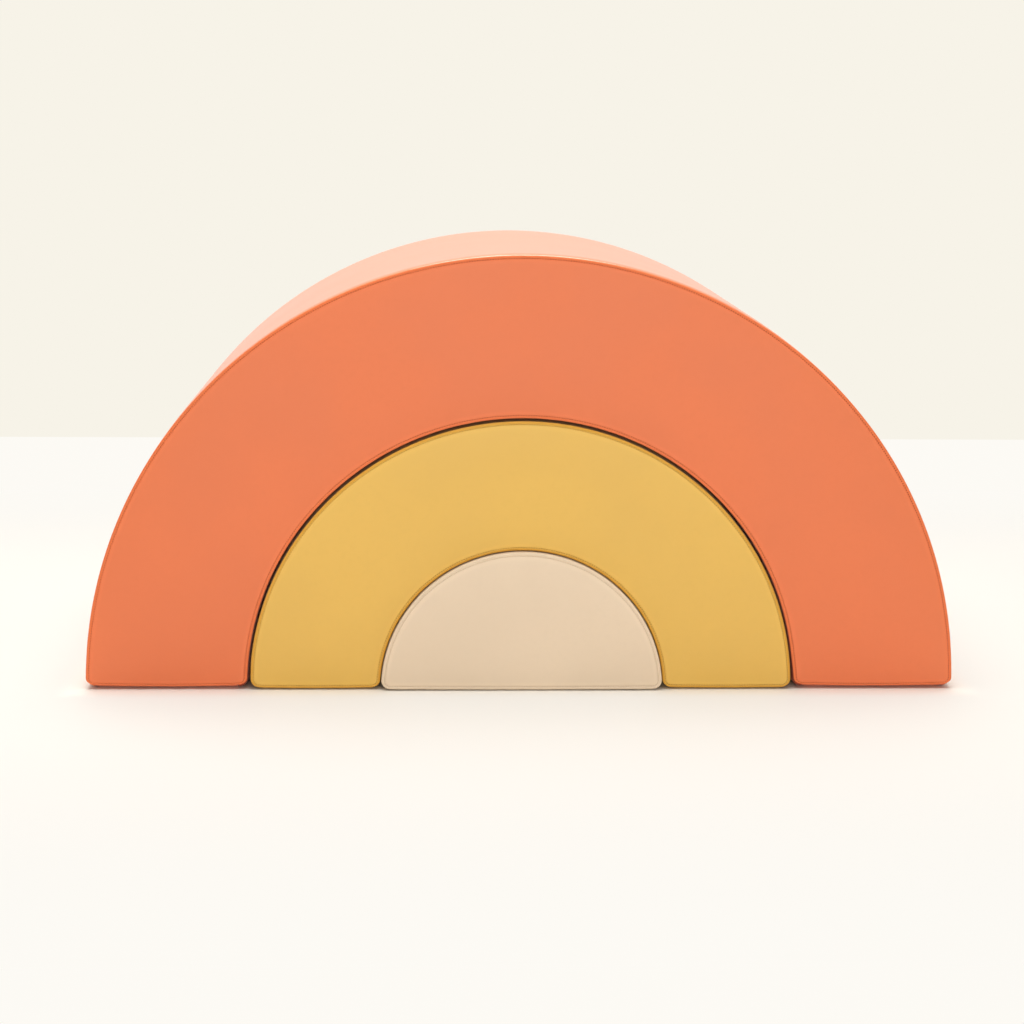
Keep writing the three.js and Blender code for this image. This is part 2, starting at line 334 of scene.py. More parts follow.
@dataclass(frozen=True)
class CoatedFabric(Finish):
    """Synthetic leather: a fine pebbled coat with a satin sheen, and painted shade and highlight on its
    panels.

    Attributes:
        stitch_inset: How far inside the seam the topstitching runs.
        drawn: How dark the painted shade along the topstitching and in each stitch's hole is.
        shaded_lip: How dark the painted shade on its turned edge is.
        grain: Width of a pebble.
        pore: Width of a pore.
        padded: How much lighter a painted highlight makes it on the padding beside the topstitching.
        hole: How much darker than a fold the painted shade in a stitch's hole is.
        wear_and_painted_sheen: How much paler a painted sheen makes the panels without stitches.
        coat: Weight of the clear coat.
        polish: How much more of it the panels without stitches have.
        dullness: How much rougher the gussets in the nest are.
    """

    stitch_inset: float
    drawn: float
    shaded_lip: float
    grain: float = 1.1 * MM
    pore: float = 0.45 * MM
    padded: float = 1.16
    hole: float = 0.5
    wear_and_painted_sheen: float = 0.05
    coat: float = 0.12
    polish: float = 0.75
    dullness: float = 0.3

    def _colored(
        self, surface: Surface, seam: Socket, gusset: Socket, clouds: Socket, flecks: Socket
    ) -> Socket:
        """The colour: uneven, with painted highlight on the padding, painted sheen on the gussets and painted
        shade by the seam.

        Args:
            surface: The material's tree.
            seam: Distance from the seam.
            gusset: 1 on panels without stitches, away from their seams.
            clouds: Broad noise.
            flecks: Fine noise.

        Returns:
            The colour.
        """
        marks = surface.node("ShaderNodeUVMap", {"uv_map": STITCH_MARK})
        stitches = surface.node("ShaderNodeSeparateXYZ", {}, {0: marks})
        color = surface.blend(surface.ramp(clouds, 0.3, 0.7), *self.shades(0.975, 1.02))
        color = surface.blend(surface.ramp(flecks, 0.45, 0.75, 0.0, 0.25), color, tint(self.color, 0.95))
        inside = seam - self.stitch_inset
        # painted highlight on the padding beside the topstitching
        padding = surface.ramp(inside, 0.5 * MM, 2 * MM) * surface.ramp(inside, 3 * MM, 8 * MM, 0.25, 0.0)
        color = surface.blend(padding, color, tint(self.color, self.padded))
        # painted sheen: the panels without stitches are painted paler, towards white
        color = surface.blend(self.wear_and_painted_sheen * gusset, color, WHITE)
        # painted shade on the turned edge beside the seam
        painted_lip_shade = surface.ramp(seam, 0.5 * self.stitch_inset, 1.1 * self.stitch_inset, self.shaded_lip, 0.0)
        color = surface.blend(painted_lip_shade, color, deepened(self.color))
        # painted shade: the stitched channel is painted the colour of a fold
        channel = surface.ramp(abs(inside), 0.1 * MM, 0.8 * MM, 0.25 * self.drawn, 0.0)
        color = surface.blend(channel, color, folded(self.color))
        # painted shade in the hole between each two stitches
        across = surface.ramp(abs(inside), 0.3 * MM, 0.9 * MM, self.drawn, 0.0)
        painted_hole_shade = across * surface.ramp(abs(stitches % 1.0 - 0.5), 0.1, 0.28, 1.0, 0.0)
        return surface.blend(painted_hole_shade, color, tint(folded(self.color), self.hole))

    def material(self) -> bpy.types.Material:
        """Builds the material.

        Returns:
            The material.
        """
        surface = Surface(self.name)
        seam = surface.node("ShaderNodeAttribute", {"attribute_name": SEAM_MARK}, {}, "Fac")
        clouds = surface.noise(0.16, 3.0)
        flecks = surface.noise(9 * MM, 3.0)
        nested = surface.ramp(seam, NESTED - 0.2, NESTED - 0.1)
        gusset = surface.ramp(seam, UNSTITCHED + 1 * MM, UNSTITCHED + 15 * MM) - nested
        color = self._colored(surface, seam, gusset, clouds, flecks)
        # painted shade on the gussets that lie in the nest, darkest at their seams
        depth = surface.ramp(seam, NESTED, NESTED + 25 * MM, 0.95, 0.4)
        color = surface.blend(depth * nested, color, folded(self.color))
        pebbles = surface.cells(self.grain, 0.35)
        pores = surface.noise(self.pore, 1.0)
        skin = surface.bump(pebbles + 0.3 * pores, 0.1 * MM, 0.35)
        handled = surface.bump(surface.noise(35 * MM, 2.0), 0.5 * MM, 0.1, skin)
        roughness = surface.ramp(clouds, 0.25, 0.75, 0.43, 0.5) + 0.04 * (flecks - 0.5)
        roughness = roughness + surface.ramp(seam, 0.6 * self.stitch_inset, 1.2 * self.stitch_inset, 0.4, 0.0)
        roughness = roughness + self.dullness * nested
        return surface.shade(
            Base_Color=color,
            Roughness=roughness,
            Normal=handled,
            Coat_Weight=self.coat + self.polish * gusset - self.coat * nested,
            Coat_Roughness=0.35,
            Sheen_Weight=0.25,
            Sheen_Roughness=0.3,
            Sheen_Tint=tuple(0.5 + 0.5 * part for part in self.color),
        )


@dataclass(frozen=True)
class Thread(Finish):
    """Polyester sewing thread of two plies."""

    def material(self) -> bpy.types.Material:
        """Builds the material.

        Returns:
            The material.
        """
        surface = Surface(self.name)
        fibres = surface.noise(0.25 * MM, 2.0)
        color = surface.blend(surface.ramp(fibres, 0.3, 0.7), *self.shades(0.8, 1.1))
        roughness = surface.ramp(fibres, 0.2, 0.8, 0.5, 0.7)
        normal = surface.bump(fibres, 0.08 * MM, 0.5)
        return surface.shade(Base_Color=color, Roughness=roughness, Normal=normal, Sheen_Weight=0.05)


@dataclass(frozen=True)
class FoamCells(Finish):
    """Open-cell foam, cut to shape."""

    def material(self) -> bpy.types.Material:
        """Builds the material.

        Returns:
            The material.
        """
        surface = Surface(self.name)
        cells = surface.cells(1.6 * MM, 0.1)
        cut = surface.noise(60 * MM, 2.0)
        color = surface.blend(surface.ramp(cells, 0.1, 0.6), tint(self.color, 0.7), self.color)
        color = surface.blend(surface.ramp(cut, 0.4, 0.7, 0.0, 0.3), color, tint(self.color, 0.92))
        normal = surface.bump(cells, 0.6 * MM, 0.7)
        return surface.shade(Base_Color=color, Roughness=0.95, Normal=normal, Sheen_Weight=0.2)


@dataclass(frozen=True)
class WovenTape(Finish):
    """Zip tape in a herringbone weave.

    Attributes:
        slant: How far the yarns are turned from the tape's length, in radians.
        fineness: How fine the yarns are.
    """

    slant: float = 0.8
    fineness: float = 250.0

    def material(self) -> bpy.types.Material:
        """Builds the material.

        Returns:
            The material.
        """
        surface = Surface(self.name)
        turn = {"Vector": surface.place, "Rotation": (0.0, 0.0, self.slant)}
        turned = surface.node("ShaderNodeMapping", {}, turn)
        waves = {"Vector": turned, "Scale": self.fineness, "Distortion": 0.4, "Detail": 1.0}
        yarn = surface.node("ShaderNodeTexWave", {"wave_profile": "SIN"}, waves, "Fac")
        fuzz = surface.noise(0.5 * MM, 2.0)
        color = surface.blend(yarn, *self.shades(0.72, 1.12))
        roughness = surface.ramp(fuzz, 0.2, 0.8, 0.78, 0.92)
        normal = surface.bump(yarn + 0.4 * fuzz, 0.15 * MM, 0.6)
        return surface.shade(Base_Color=color, Roughness=roughness, Normal=normal, Sheen_Weight=0.3)


@dataclass(frozen=True)
class NylonCoil(Finish):
    """Drawn nylon of a zip's coil."""

    def material(self) -> bpy.types.Material:
        """Builds the material.

        Returns:
            The material.
        """
        surface = Surface(self.name)
        drawn = surface.noise(2 * MM, 2.0)
        color = surface.blend(drawn, *self.shades(0.9, 1.1))
        roughness = surface.ramp(drawn, 0.3, 0.7, 0.28, 0.4)
        normal = surface.bump(drawn, 0.05 * MM, 0.3)
        return surface.shade(Base_Color=color, Roughness=roughness, Normal=normal)


@dataclass(frozen=True)
class Lacquer(Finish):
    """Coloured lacquer on a die-cast slider, rubbed at its corners."""

    def material(self) -> bpy.types.Material:
        """Builds the material.

        Returns:
            The material.
        """
        surface = Surface(self.name)
        wear_and_painted_sheen = surface.noise(1.4 * MM, 4.0)
        color = surface.blend(surface.ramp(wear_and_painted_sheen, 0.62, 0.8, 0.0, 0.4), self.color, tint(self.color, 1.3))
        roughness = surface.ramp(wear_and_painted_sheen, 0.3, 0.7, 0.24, 0.4)
        normal = surface.bump(surface.noise(0.8 * MM, 2.0), 0.05 * MM, 0.25)
        return surface.shade(Base_Color=color, Roughness=roughness, Normal=normal, Coat_Weight=0.5)


@dataclass(frozen=True)
class StageFinish(Finish):
    """Matt paint of the floor or the wall, evened out where it is looked at, and clear from behind.

    Attributes:
        seen: Its colour in the picture.
        evenness: How much of that shows, whatever light falls on it, near what stands there.
        shaded: Half the width and depth of what stands there, where none of it shows.
        clearing: How far from that the evenness sets in, and where nothing else shows.
        near_painted_shade: How dark that colour is painted where the evenness sets in, a painted shade round
            what stands there.
    """

    seen: Color
    evenness: float = 1.0
    shaded: tuple[float, float] = (0.0, 0.0)
    clearing: tuple[float, float] = (0.04, 1.0)
    near_painted_shade: float = 0.88

    def material(self) -> bpy.types.Material:
        """Builds the material.

        Returns:
            The material.
        """
        surface = Surface(self.name)
        paint = surface.node("ShaderNodeBsdfPrincipled", {}, {"Base Color": self.color, "Roughness": 0.6})
        looked_at = surface.node("ShaderNodeLightPath", output="Is Camera Ray")
        mirrored = surface.node("ShaderNodeLightPath", output="Is Glossy Ray")
        x = surface.node("ShaderNodeSeparateXYZ", {}, {0: surface.place}, "X")
        y = surface.node("ShaderNodeSeparateXYZ", {}, {0: surface.place}, "Y")
        outside = {0: abs(x) - self.shaded[0], 1: abs(y) - self.shaded[1]}
        beside = surface.node("ShaderNodeMath", {"operation": "MAXIMUM"}, outside)
        near, far = self.clearing
        away = surface.ramp(beside, near, far)
        # painted shade on the floor: the colour in the picture is darker near what stands there
        picture = surface.blend(away, tint(self.seen, self.near_painted_shade), self.seen)
        even = surface.node("ShaderNodeEmission", {}, {"Color": picture})
        share = surface.ramp(beside, 0.0, near, 0.0, self.evenness) + (1.0 - self.evenness) * away
        shown = share * (looked_at + mirrored)
        front = surface.node("ShaderNodeMixShader", {}, {0: shown, 1: paint, 2: even})
        behind = surface.node("ShaderNodeNewGeometry", output="Backfacing")
        clear = surface.node("ShaderNodeBsdfTransparent")
        shader = surface.node("ShaderNodeMixShader", {}, {0: behind, 1: front, 2: clear})
        surface.node("ShaderNodeOutputMaterial", {}, {"Surface": shader})
        return surface.material


@dataclass(frozen=True)
class Upholstery:
    """The finishes of one piece.

    Attributes:
        name: Name of the colour, as in the record's slots.
        cover: Colour of the synthetic leather.
        thread: Colour of the topstitching.
        trim: Colour of the zip.
        drawn: How dark the painted shade along the topstitching and in each stitch's hole is.
        shaded_lip: How dark the painted shade on the leather's turned edges is.
    """

    name: str
    cover: Color
    thread: Color
    trim: Color
    drawn: float
    shaded_lip: float

    def slot(self, part: str) -> str:
        """The record's slot for a part of this colour."""
        return f"{self.name}_{part}"


# Mesh building


def rings_between(count: int, closed: bool) -> tuple[np.ndarray, np.ndarray]:
    """Numbers of each point of a row that has a next one, and of that next one."""
    here = np.arange(count if closed else count - 1)
    return here, (here + 1) % count


def lattice_faces(rows: int, count: int, rows_close: bool, points_close: bool) -> list[list[int]]:
    """Quads over a lattice of points numbered row by row.

    Args:
        rows: How many rows there are.
        count: How many points each row has.
        rows_close: Whether the last row joins the first.
        points_close: Whether the last point of a row joins its first.

    Returns:
        The corners of each quad.
    """
    row, next_row = rings_between(rows, rows_close)
    here, after = rings_between(count, points_close)
    corners = [
        row[:, None] * count + here,
        row[:, None] * count + after,
        next_row[:, None] * count + after,
        next_row[:, None] * count + here,
    ]
    return np.stack(corners, -1).reshape(-1, 4).tolist()


def lattice(x: Rows, y: Rows, z: Rows) -> np.ndarray:
    """Points from coordinates that change along the rows of a lattice, across them, both or neither."""
    return np.stack(np.broadcast_arrays(x, y, z), -1)


def placed(name: str, data: bpy.types.ID) -> bpy.types.Object:
    """Puts a new object in the scene, at the origin.

    Args:
        name: Its name.
        data: Its mesh, light or camera.

    Returns:
        The object.
    """
    item = bpy.data.objects.new(name, data)
    bpy.context.scene.collection.objects.link(item)
    return item


def piece_from(
    name: str,
    points: np.ndarray,
    faces: list[list[int]],
    material: bpy.types.Material,
    seam: Union[np.ndarray, None] = None,
    crease: float = 40.0,
) -> bpy.types.Object:
    """Makes a closed mesh whose faces point outwards.

    Args:
        name: Name of the piece.
        points: Its points, in metres.
        faces: The corners of each face, all wound the same way.
        material: Its finish.
        seam: How far each point is from its seam, for the finish.
        crease: Angle in degrees beyond which an edge stays sharp.

    Returns:
        The new object, at the origin.
    """
    mesh = bpy.data.meshes.new(name)
    mesh.from_pydata(points.reshape(-1, 3).tolist(), [], faces)
    shape = bmesh.new()
    shape.from_mesh(mesh)
    if shape.calc_volume(signed=True) < 0:
        bmesh.ops.reverse_faces(shape, faces=shape.faces)
    shape.to_mesh(mesh)
    shape.free()
    if seam is not None:
        marks = mesh.attributes.new(SEAM_MARK, "FLOAT", "POINT")
        marks.data.foreach_set("value", np.ascontiguousarray(seam, dtype=np.float32).ravel())
    mesh.shade_smooth()
    mesh.set_sharp_from_angle(angle=math.radians(crease))
    mesh.materials.append(material)
    return placed(name, mesh)


def mark_stitches(mesh: bpy.types.Mesh, along: np.ndarray) -> None:
    """Writes how many stitches along its edge each corner of a face panel is, as texture coordinates.

    Args:
        mesh: The panel, whose points are numbered row by row.
        along: Stitches up to each point of a row and, last, back to the first.
    """
    count = len(along) - 1
    numbers = np.empty(len(mesh.loops), np.int32)
    mesh.loops.foreach_get("vertex_index", numbers)
    starts = np.empty(len(mesh.polygons), np.int32)
    mesh.polygons.foreach_get("loop_start", starts)
    column = numbers % count
    closing = np.maximum.reduceat(column, starts) == count - 1
    closing = np.repeat(closing, np.diff(np.append(starts, len(numbers))))
    stitches = along[np.where(closing & (column == 0), count, column)]
    layer = mesh.uv_layers.new(name=STITCH_MARK)
    layer.uv.foreach_set("vector", np.stack([stitches, 0 * stitches], -1).astype(np.float32).ravel())


def tube_faces(rows: int, count: int) -> list[list[int]]:
    """Faces of a tube: rows that close round it, and an end at each end of the rows.

    Args:
        rows: How many rows go round the tube.
        count: How many points each row has along it.

    Returns:
        The corners of each face.
    """
    faces = lattice_faces(rows, count, True, False)
    start = [row * count for row in range(rows)]
    end = [row * count + count - 1 for row in reversed(range(rows))]
    return [*faces, start, end]


# Outlines of the arches and the half moon


@dataclass(frozen=True)
class Outline:
    """Front outline of an arch, or of a half moon where it has no tunnel.

    Attributes:
        outer: Radius of the outer side.
        inner: Radius of the tunnel, or 0.
        arc_steps: Steps along a side.
        corner_steps: Steps round a corner at a foot.
        crowding: How much closer the steps are where a corner leaves the floor.
        sharpest: The least share of the foot's corner that an inset outline keeps.
        softening: How fast the corners of deep insets grow round again.
        roundest: The largest share of an inset outline's width that a corner takes.
    """

    outer: float
    inner: float
    arc_steps: int
    corner_steps: int = 8
    crowding: float = 1.4
    sharpest: float = 0.4
    softening: float = 0.35
    roundest: float = 0.42

    @property
    def wall(self) -> float:
        """Thickness of the piece from its outer side inwards."""
        return self.outer - self.inner

    @property
    def foot_steps(self) -> int:
        """Steps along the flat under a foot, or under the whole half moon."""
        return self.arc_steps // 6 if self.inner else self.rail_steps

    @property
    def rail_steps(self) -> int:
        """Steps along one side, with its two corners."""
        return self.arc_steps + 2 * self.corner_steps

    def corner_at(self, inset: float) -> float:
        """Radius of a corner on an outline drawn inside this one.

        Args:
            inset: Distance between the two.

        Returns:
            The radius: parallel to the foot's corner at first, then wider.
        """
        least = self.sharpest * FOOT_CORNER
        parallel = max(FOOT_CORNER - inset, least)
        grown = self.softening * max(inset - (FOOT_CORNER - least), 0.0)
        room = self.roundest * (self.wall - 2 * inset)
        return min(parallel + grown, room)

    def _rail(self, radius: float, inset: float, lean: int) -> np.ndarray:
        """One side, from the right foot over the top to the left foot.

        Args:
            radius: Radius of the side.
            inset: How far the feet are drawn up.
            lean: -1 where the corners are inside the radius, 1 where they are outside.

        Returns:
            Points in X and Z.
        """
        corner = self.corner_at(inset)
        height = inset + corner
        across = math.sqrt((radius + lean * corner) ** 2 - height**2)
        turn = math.atan2(height, across)
        bend = np.linspace(0.0, 1.0, self.corner_steps + 1) ** self.crowding
        down = -math.pi / 2
        angles = down - lean * bend * (math.pi / 2 - lean * turn)
        right = np.stack([across + corner * np.cos(angles), height + corner * np.sin(angles)], -1)
        sweep = np.linspace(turn, math.pi - turn, self.arc_steps + 1)[1:-1]
        over = radius * np.stack([np.cos(sweep), np.sin(sweep)], -1)
        left = right[::-1] * (-1.0, 1.0)
        return np.concatenate([right, over, left])

    def outer_rail(self, inset: float) -> np.ndarray:
        """The outer side at an inset, from the right foot over the top to the left foot."""
        return self._rail(self.outer - inset, inset, -1)

    def inner_rail(self, inset: float) -> np.ndarray:
        """The tunnel's side at an inset, from the right foot over the top to the left foot."""
        return self._rail(self.inner + inset, inset, 1)

    def loop(self, inset: float) -> np.ndarray:
        """The whole outline, counter-clockwise as seen from the front, from the right foot's outside.

        Args:
            inset: How far inside the piece's own outline it is drawn.

        Returns:
            Points in X and Z.
        """
        outer = self.outer_rail(inset)
        if not self.inner:
            return np.concatenate([outer, self._flat(outer[-1], outer[0])])
        inner = self.inner_rail(inset)[::-1]
        left_foot = self._flat(outer[-1], inner[0])
        right_foot = self._flat(inner[-1], outer[0])
        return np.concatenate([outer, left_foot, inner, right_foot])

    def _flat(self, start: np.ndarray, end: np.ndarray) -> np.ndarray:
        """Points between the ends of the flat under a foot."""
        share = np.linspace(0.0, 1.0, self.foot_steps + 1)[1:-1, None]
        return start + share * (end - start)

    def cap_faces(self, start: int) -> list[list[int]]:
        """Faces that close the space inside a loop.

        Args:
            start: Number of the loop's first point.

        Returns:
            The corners of each face: quads from the outer side across to the inner side, or to the base.
        """
        rail = self.rail_steps
        if not self.inner:
            across = [2 * rail - step for step in range(rail + 1)]
            across[0] = 0
            faces = [[step, step + 1, across[step + 1], across[step]] for step in range(1, rail - 1)]
            faces += [[0, 1, across[1]], [rail - 1, rail, across[rail - 1]]]
        else:
            inner = rail + self.foot_steps
            total = 2 * (rail + self.foot_steps)
            faces = [[step, step + 1, inner + rail - step - 1, inner + rail - step] for step in range(rail)]
            faces.append(list(range(rail, inner + 1)))
            faces.append([*range(inner + rail, total), 0])
        return [[start + number for number in corners] for corners in faces]

    def foot_span(self) -> tuple[float, float]:
        """Ends of the flat under the right foot, or under the whole half moon.

        Returns:
            The left end and the right end.
        """
        right = float(self.outer_rail(0.0)[0, 0])
        left = float(self.inner_rail(0.0)[0, 0]) if self.inner else -right
        return left, right


# How the foam fills out a face

FIRM_COVER = {  # cloth settings of coated fabric over firm foam
    "quality": 5,
    "mass": 0.4,
    "tension_stiffness": 30,
    "compression_stiffness": 30,
    "shear_stiffness": 15,
    "bending_stiffness": 0.5,
    "tension_damping": 15,
    "compression_damping": 15,
    "shear_damping": 15,
    "air_damping": 4,
    "use_pressure": True,
    "pin_stiffness": 50,
}


@dataclass
class FilledFace:
    """How far a face panel swells over its foam, found by inflating a coarse cover held at its seams.

    Attributes:
        outline: The piece's outline.
        half_depth: From the middle of the piece to a face's seam.
        crown: How far the face may swell.
        cell: Width of the coarse mesh's cells.
        stretch: How much longer than wide they are.
        fewest: The least number of cells around and across the face.
        firmness: How soon the swelling levels off towards the middle of the face.
        pressure: Pressure inside the cover.
        frames: Frames that the simulation runs.
    """

    outline: Outline
    half_depth: float
    crown: float
    cell: float = 16 * MM
    stretch: float = 1.3
    fewest: tuple[int, int] = (24, 10)
    firmness: float = 1.9
    pressure: float = 4.0
    frames: int = 20
    swell: np.ndarray = field(init=False)

    def __post_init__(self) -> None:
        """Inflates the cover, and levels off how far the face swells."""
        around, across = self.fewest
        self.around = max(around, round(math.pi * self.outline.outer / self.cell / self.stretch))
        self.across = max(across, round(self.outline.wall / self.cell))
        bulge = self._inflated()
        level = np.tanh(self.firmness * bulge / bulge.max()) / math.tanh(self.firmness)
        padded = np.pad(level, 1, mode="reflect", reflect_type="odd")
        self.swell = self.crown * padded

    def _place(self, around: Rows, across: Rows) -> tuple[np.ndarray, np.ndarray]:
        """Where lattice shares lie on the face.

        Args:
            around: Share of the way from the right foot over to the left.
            across: Share of the way from the inner side, or the base, to the outer side.

        Returns:
            X and Z.
        """
        angle = math.pi * around
        if self.outline.inner:
            radius = self.outline.inner + self.outline.wall * across
            return radius * np.cos(angle), radius * np.sin(angle)
        return self.outline.outer * np.cos(angle), across * self.outline.outer * np.sin(angle)

    def _coarse_sides(self) -> list[np.ndarray]:
        """Lattices of points on the sides of the coarse cover.

        Returns:
            The front, the back and the sides between them.
        """
        around = np.linspace(0.0, 1.0, self.around + 1)
        across = np.linspace(0.0, 1.0, self.across + 1)
        deep = np.linspace(-self.half_depth, self.half_depth, 2 * self.across + 1)
        x, z = self._place(around[:, None], across)
        sides = [lattice(x, y, z) for y in (-self.half_depth, self.half_depth)]
        for edge in (0.0, 1.0):
            x, z = self._place(around[:, None], edge)
            sides.append(lattice(x, deep, z))
        if self.outline.inner:
            for edge in (0.0, 1.0):
                x, z = self._place(edge, across[:, None])
                sides.append(lattice(x, deep, z))
        return sides

    def _coarse_cover(self) -> tuple[bpy.types.Object, np.ndarray]:
        """Joins the coarse sides into one closed mesh.

        Returns:
            The mesh's object, and the numbers of the front's points as a lattice.
        """
        sides = self._coarse_sides()
        points = np.concatenate([side.reshape(-1, 3) for side in sides])
        keys = np.round(points / TOUCHING).astype(np.int64)
        _, first, numbers = np.unique(keys, axis=0, return_index=True, return_inverse=True)
        numbers = numbers.reshape(-1)
        faces = []
        start = 0
        for side in sides:
            rows, count = side.shape[:2]
            for corners in lattice_faces(rows, count, False, False):
                joined = [int(numbers[start + corner]) for corner in corners]
                kept = [number for place, number in enumerate(joined) if number != joined[place - 1]]
                if len(kept) > 2:
                    faces.append(kept)
            start += rows * count
        mesh = bpy.data.meshes.new("coarse_cover")
        mesh.from_pydata(points[first].tolist(), [], faces)
        shape = bmesh.new()
        shape.from_mesh(mesh)
        bmesh.ops.recalc_face_normals(shape, faces=shape.faces)
        shape.to_mesh(mesh)
        shape.free()
        cover = placed("coarse_cover", mesh)
        rows, count = sides[0].shape[:2]
        return cover, numbers[: rows * count].reshape(rows, count)

    def _inflated(self) -> np.ndarray:
        """Runs the cloth simulation and takes how far the front has moved.

        Returns:
            The swelling over the front's lattice, in metres.
        """
        cover, front = self._coarse_cover()
        scene = bpy.context.scene
        count = len(cover.data.vertices)
        before = np.empty(count * 3, np.float32)
        cover.data.vertices.foreach_get("co", before)
        held = np.abs(np.abs(before.reshape(-1, 3)[:, 1]) - self.half_depth) > TOUCHING
        held[front[[0, -1]]] = True
        held[front[:, [0, -1]]] = True
        sewn = cover.vertex_groups.new(name="sewn")
        sewn.add([int(number) for number in np.flatnonzero(held)], 1.0, "REPLACE")
        cloth = cover.modifiers.new("inflate", "CLOTH")
        for name, value in FIRM_COVER.items():
            setattr(cloth.settings, name, value)
        cloth.settings.uniform_pressure_force = self.pressure
        cloth.settings.vertex_group_mass = sewn.name
        cloth.settings.effector_weights.gravity = 0
        cloth.collision_settings.use_collision = False
        cloth.point_cache.frame_start = 1
        cloth.point_cache.frame_end = self.frames
        for step in range(1, self.frames + 1):
            scene.frame_set(step)
        after = np.empty(count * 3, np.float32)
        settled = cover.evaluated_get(bpy.context.evaluated_depsgraph_get())
        settled.data.vertices.foreach_get("co", after)
        moved = (before - after).reshape(-1, 3)[:, 1]
        bpy.data.meshes.remove(cover.data)
        scene.frame_set(0)
        return np.maximum(moved[front], 0.0).astype(float)

    def rise(self, points: np.ndarray) -> np.ndarray:
        """How far the face has swollen at points on it, smoothed by a cubic spline over the lattice.

        Args:
            points: X and Z of each point.

        Returns:
            The rise at each point, in metres.
        """
        x, z = points[:, 0], np.maximum(points[:, 1], 0.0)
        if self.outline.inner:
            around = np.arctan2(z, x) / math.pi
            across = (np.hypot(x, z) - self.outline.inner) / self.outline.wall
        else:
            around = np.arccos(np.clip(x / self.outline.outer, -1.0, 1.0)) / math.pi
            across = z / np.sqrt(np.maximum(self.outline.outer**2 - x**2, (1 * MM) ** 2))
        total = np.zeros(len(points))
        row, row_weights = self._spline(around, self.around)
        column, column_weights = self._spline(across, self.across)
        for down, row_weight in enumerate(row_weights):
            for along, column_weight in enumerate(column_weights):
                total += row_weight * column_weight * self.swell[row + down, column + along]
        return total

    @staticmethod
    def _spline(share: np.ndarray, steps: int) -> tuple[np.ndarray, list[np.ndarray]]:
        """The lattice lines round each point and how much each counts.

        Args:
            share: Where each point lies, from 0 to 1.
            steps: How many steps the lattice has that way.

        Returns:
            The first of four lines, and the four weights.
        """
        place = np.clip(share, 0.0, 1.0) * steps
        first = np.minimum(np.floor(place).astype(int), steps - 1)
        part = place - first
        weights = [
            (1 - part) ** 3 / 6,
            (3 * part**3 - 6 * part**2 + 4) / 6,
            (-3 * part**3 + 3 * part**2 + 3 * part + 1) / 6,
            part**3 / 6,
        ]
        return first, weights


# Sewing and coil, by Geometry Nodes


class Recipe:
    """A Geometry Nodes tree with named inputs, run once on a mesh of lines."""

    def __init__(self, name: str) -> None:
        """Makes an empty tree that takes and gives a geometry.

        Args:
            name: Its name.
        """
        self.tree = bpy.data.node_groups.new(name, "GeometryNodeTree")
        self.graph = Graph(self.tree)
        self.entry = self.tree.nodes.new("NodeGroupInput")
        self.path = self.take("Path", "NodeSocketGeometry")
        self.tree.interface.new_socket("Geometry", in_out="OUTPUT", socket_type="NodeSocketGeometry")

    def take(self, name: str, kind: str = "NodeSocketFloat") -> Socket:
        """Adds a named input, and gives what it feeds into the tree."""
        self.tree.interface.new_socket(name, in_out="INPUT", socket_type=kind)
        return Socket(self.graph, self.entry, name)

    def give(self, geometry: Socket, material: Socket) -> None:
        """Ends the tree: real copies with a material.

        Args:
            geometry: The copies.
            material: The material.
        """
        real = self.graph.node("GeometryNodeRealizeInstances", {}, {0: geometry})
        dressed = self.graph.node("GeometryNodeSetMaterial", {}, {"Geometry": real, "Material": material})
        self.graph.node("NodeGroupOutput", {}, {"Geometry": dressed})

    def run(self, name: str, lines: bpy.types.Mesh, values: dict[str, Any]) -> bpy.types.Object:
        """Runs the tree and keeps its result as a plain mesh.

        Args:
            name: Name of the new piece.
            lines: The lines that it follows.
            values: A value for each named input.

        Returns:
            The new object, at the origin.
        """
        source = placed(name + "_line", lines)
        modifier = source.modifiers.new("recipe", "NODES")
        modifier.node_group = self.tree
        for socket in self.tree.interface.items_tree:
            if socket.name in values:
                modifier[socket.identifier] = values[socket.name]
        ready = source.evaluated_get(bpy.context.evaluated_depsgraph_get())
        mesh = bpy.data.meshes.new_from_object(ready)
        mesh.name = name
        source.modifiers.remove(modifier)
        bpy.data.meshes.remove(lines)
        return placed(name, mesh)


def vector(graph: Graph, x: Feed, y: Feed, z: Feed) -> Socket:
    """A vector from three values."""
    return graph.node("ShaderNodeCombineXYZ", {}, {0: x, 1: y, 2: z})


def round_strand(graph: Graph, path: Socket, radius: Feed, sides: int) -> Socket:
    """A strand of round section along a curve.

    Args:
        graph: The tree.
        path: The curve.
        radius: Radius of the strand.
        sides: Sides of its section.

    Returns:
        Its mesh.
    """
    section = graph.node("GeometryNodeCurvePrimitiveCircle", {}, {"Resolution": sides, "Radius": radius})
    strand = graph.node("GeometryNodeCurveToMesh", {}, {0: path, 1: section, "Fill Caps": True})
    return graph.node("GeometryNodeSetShadeSmooth", {}, {0: strand})


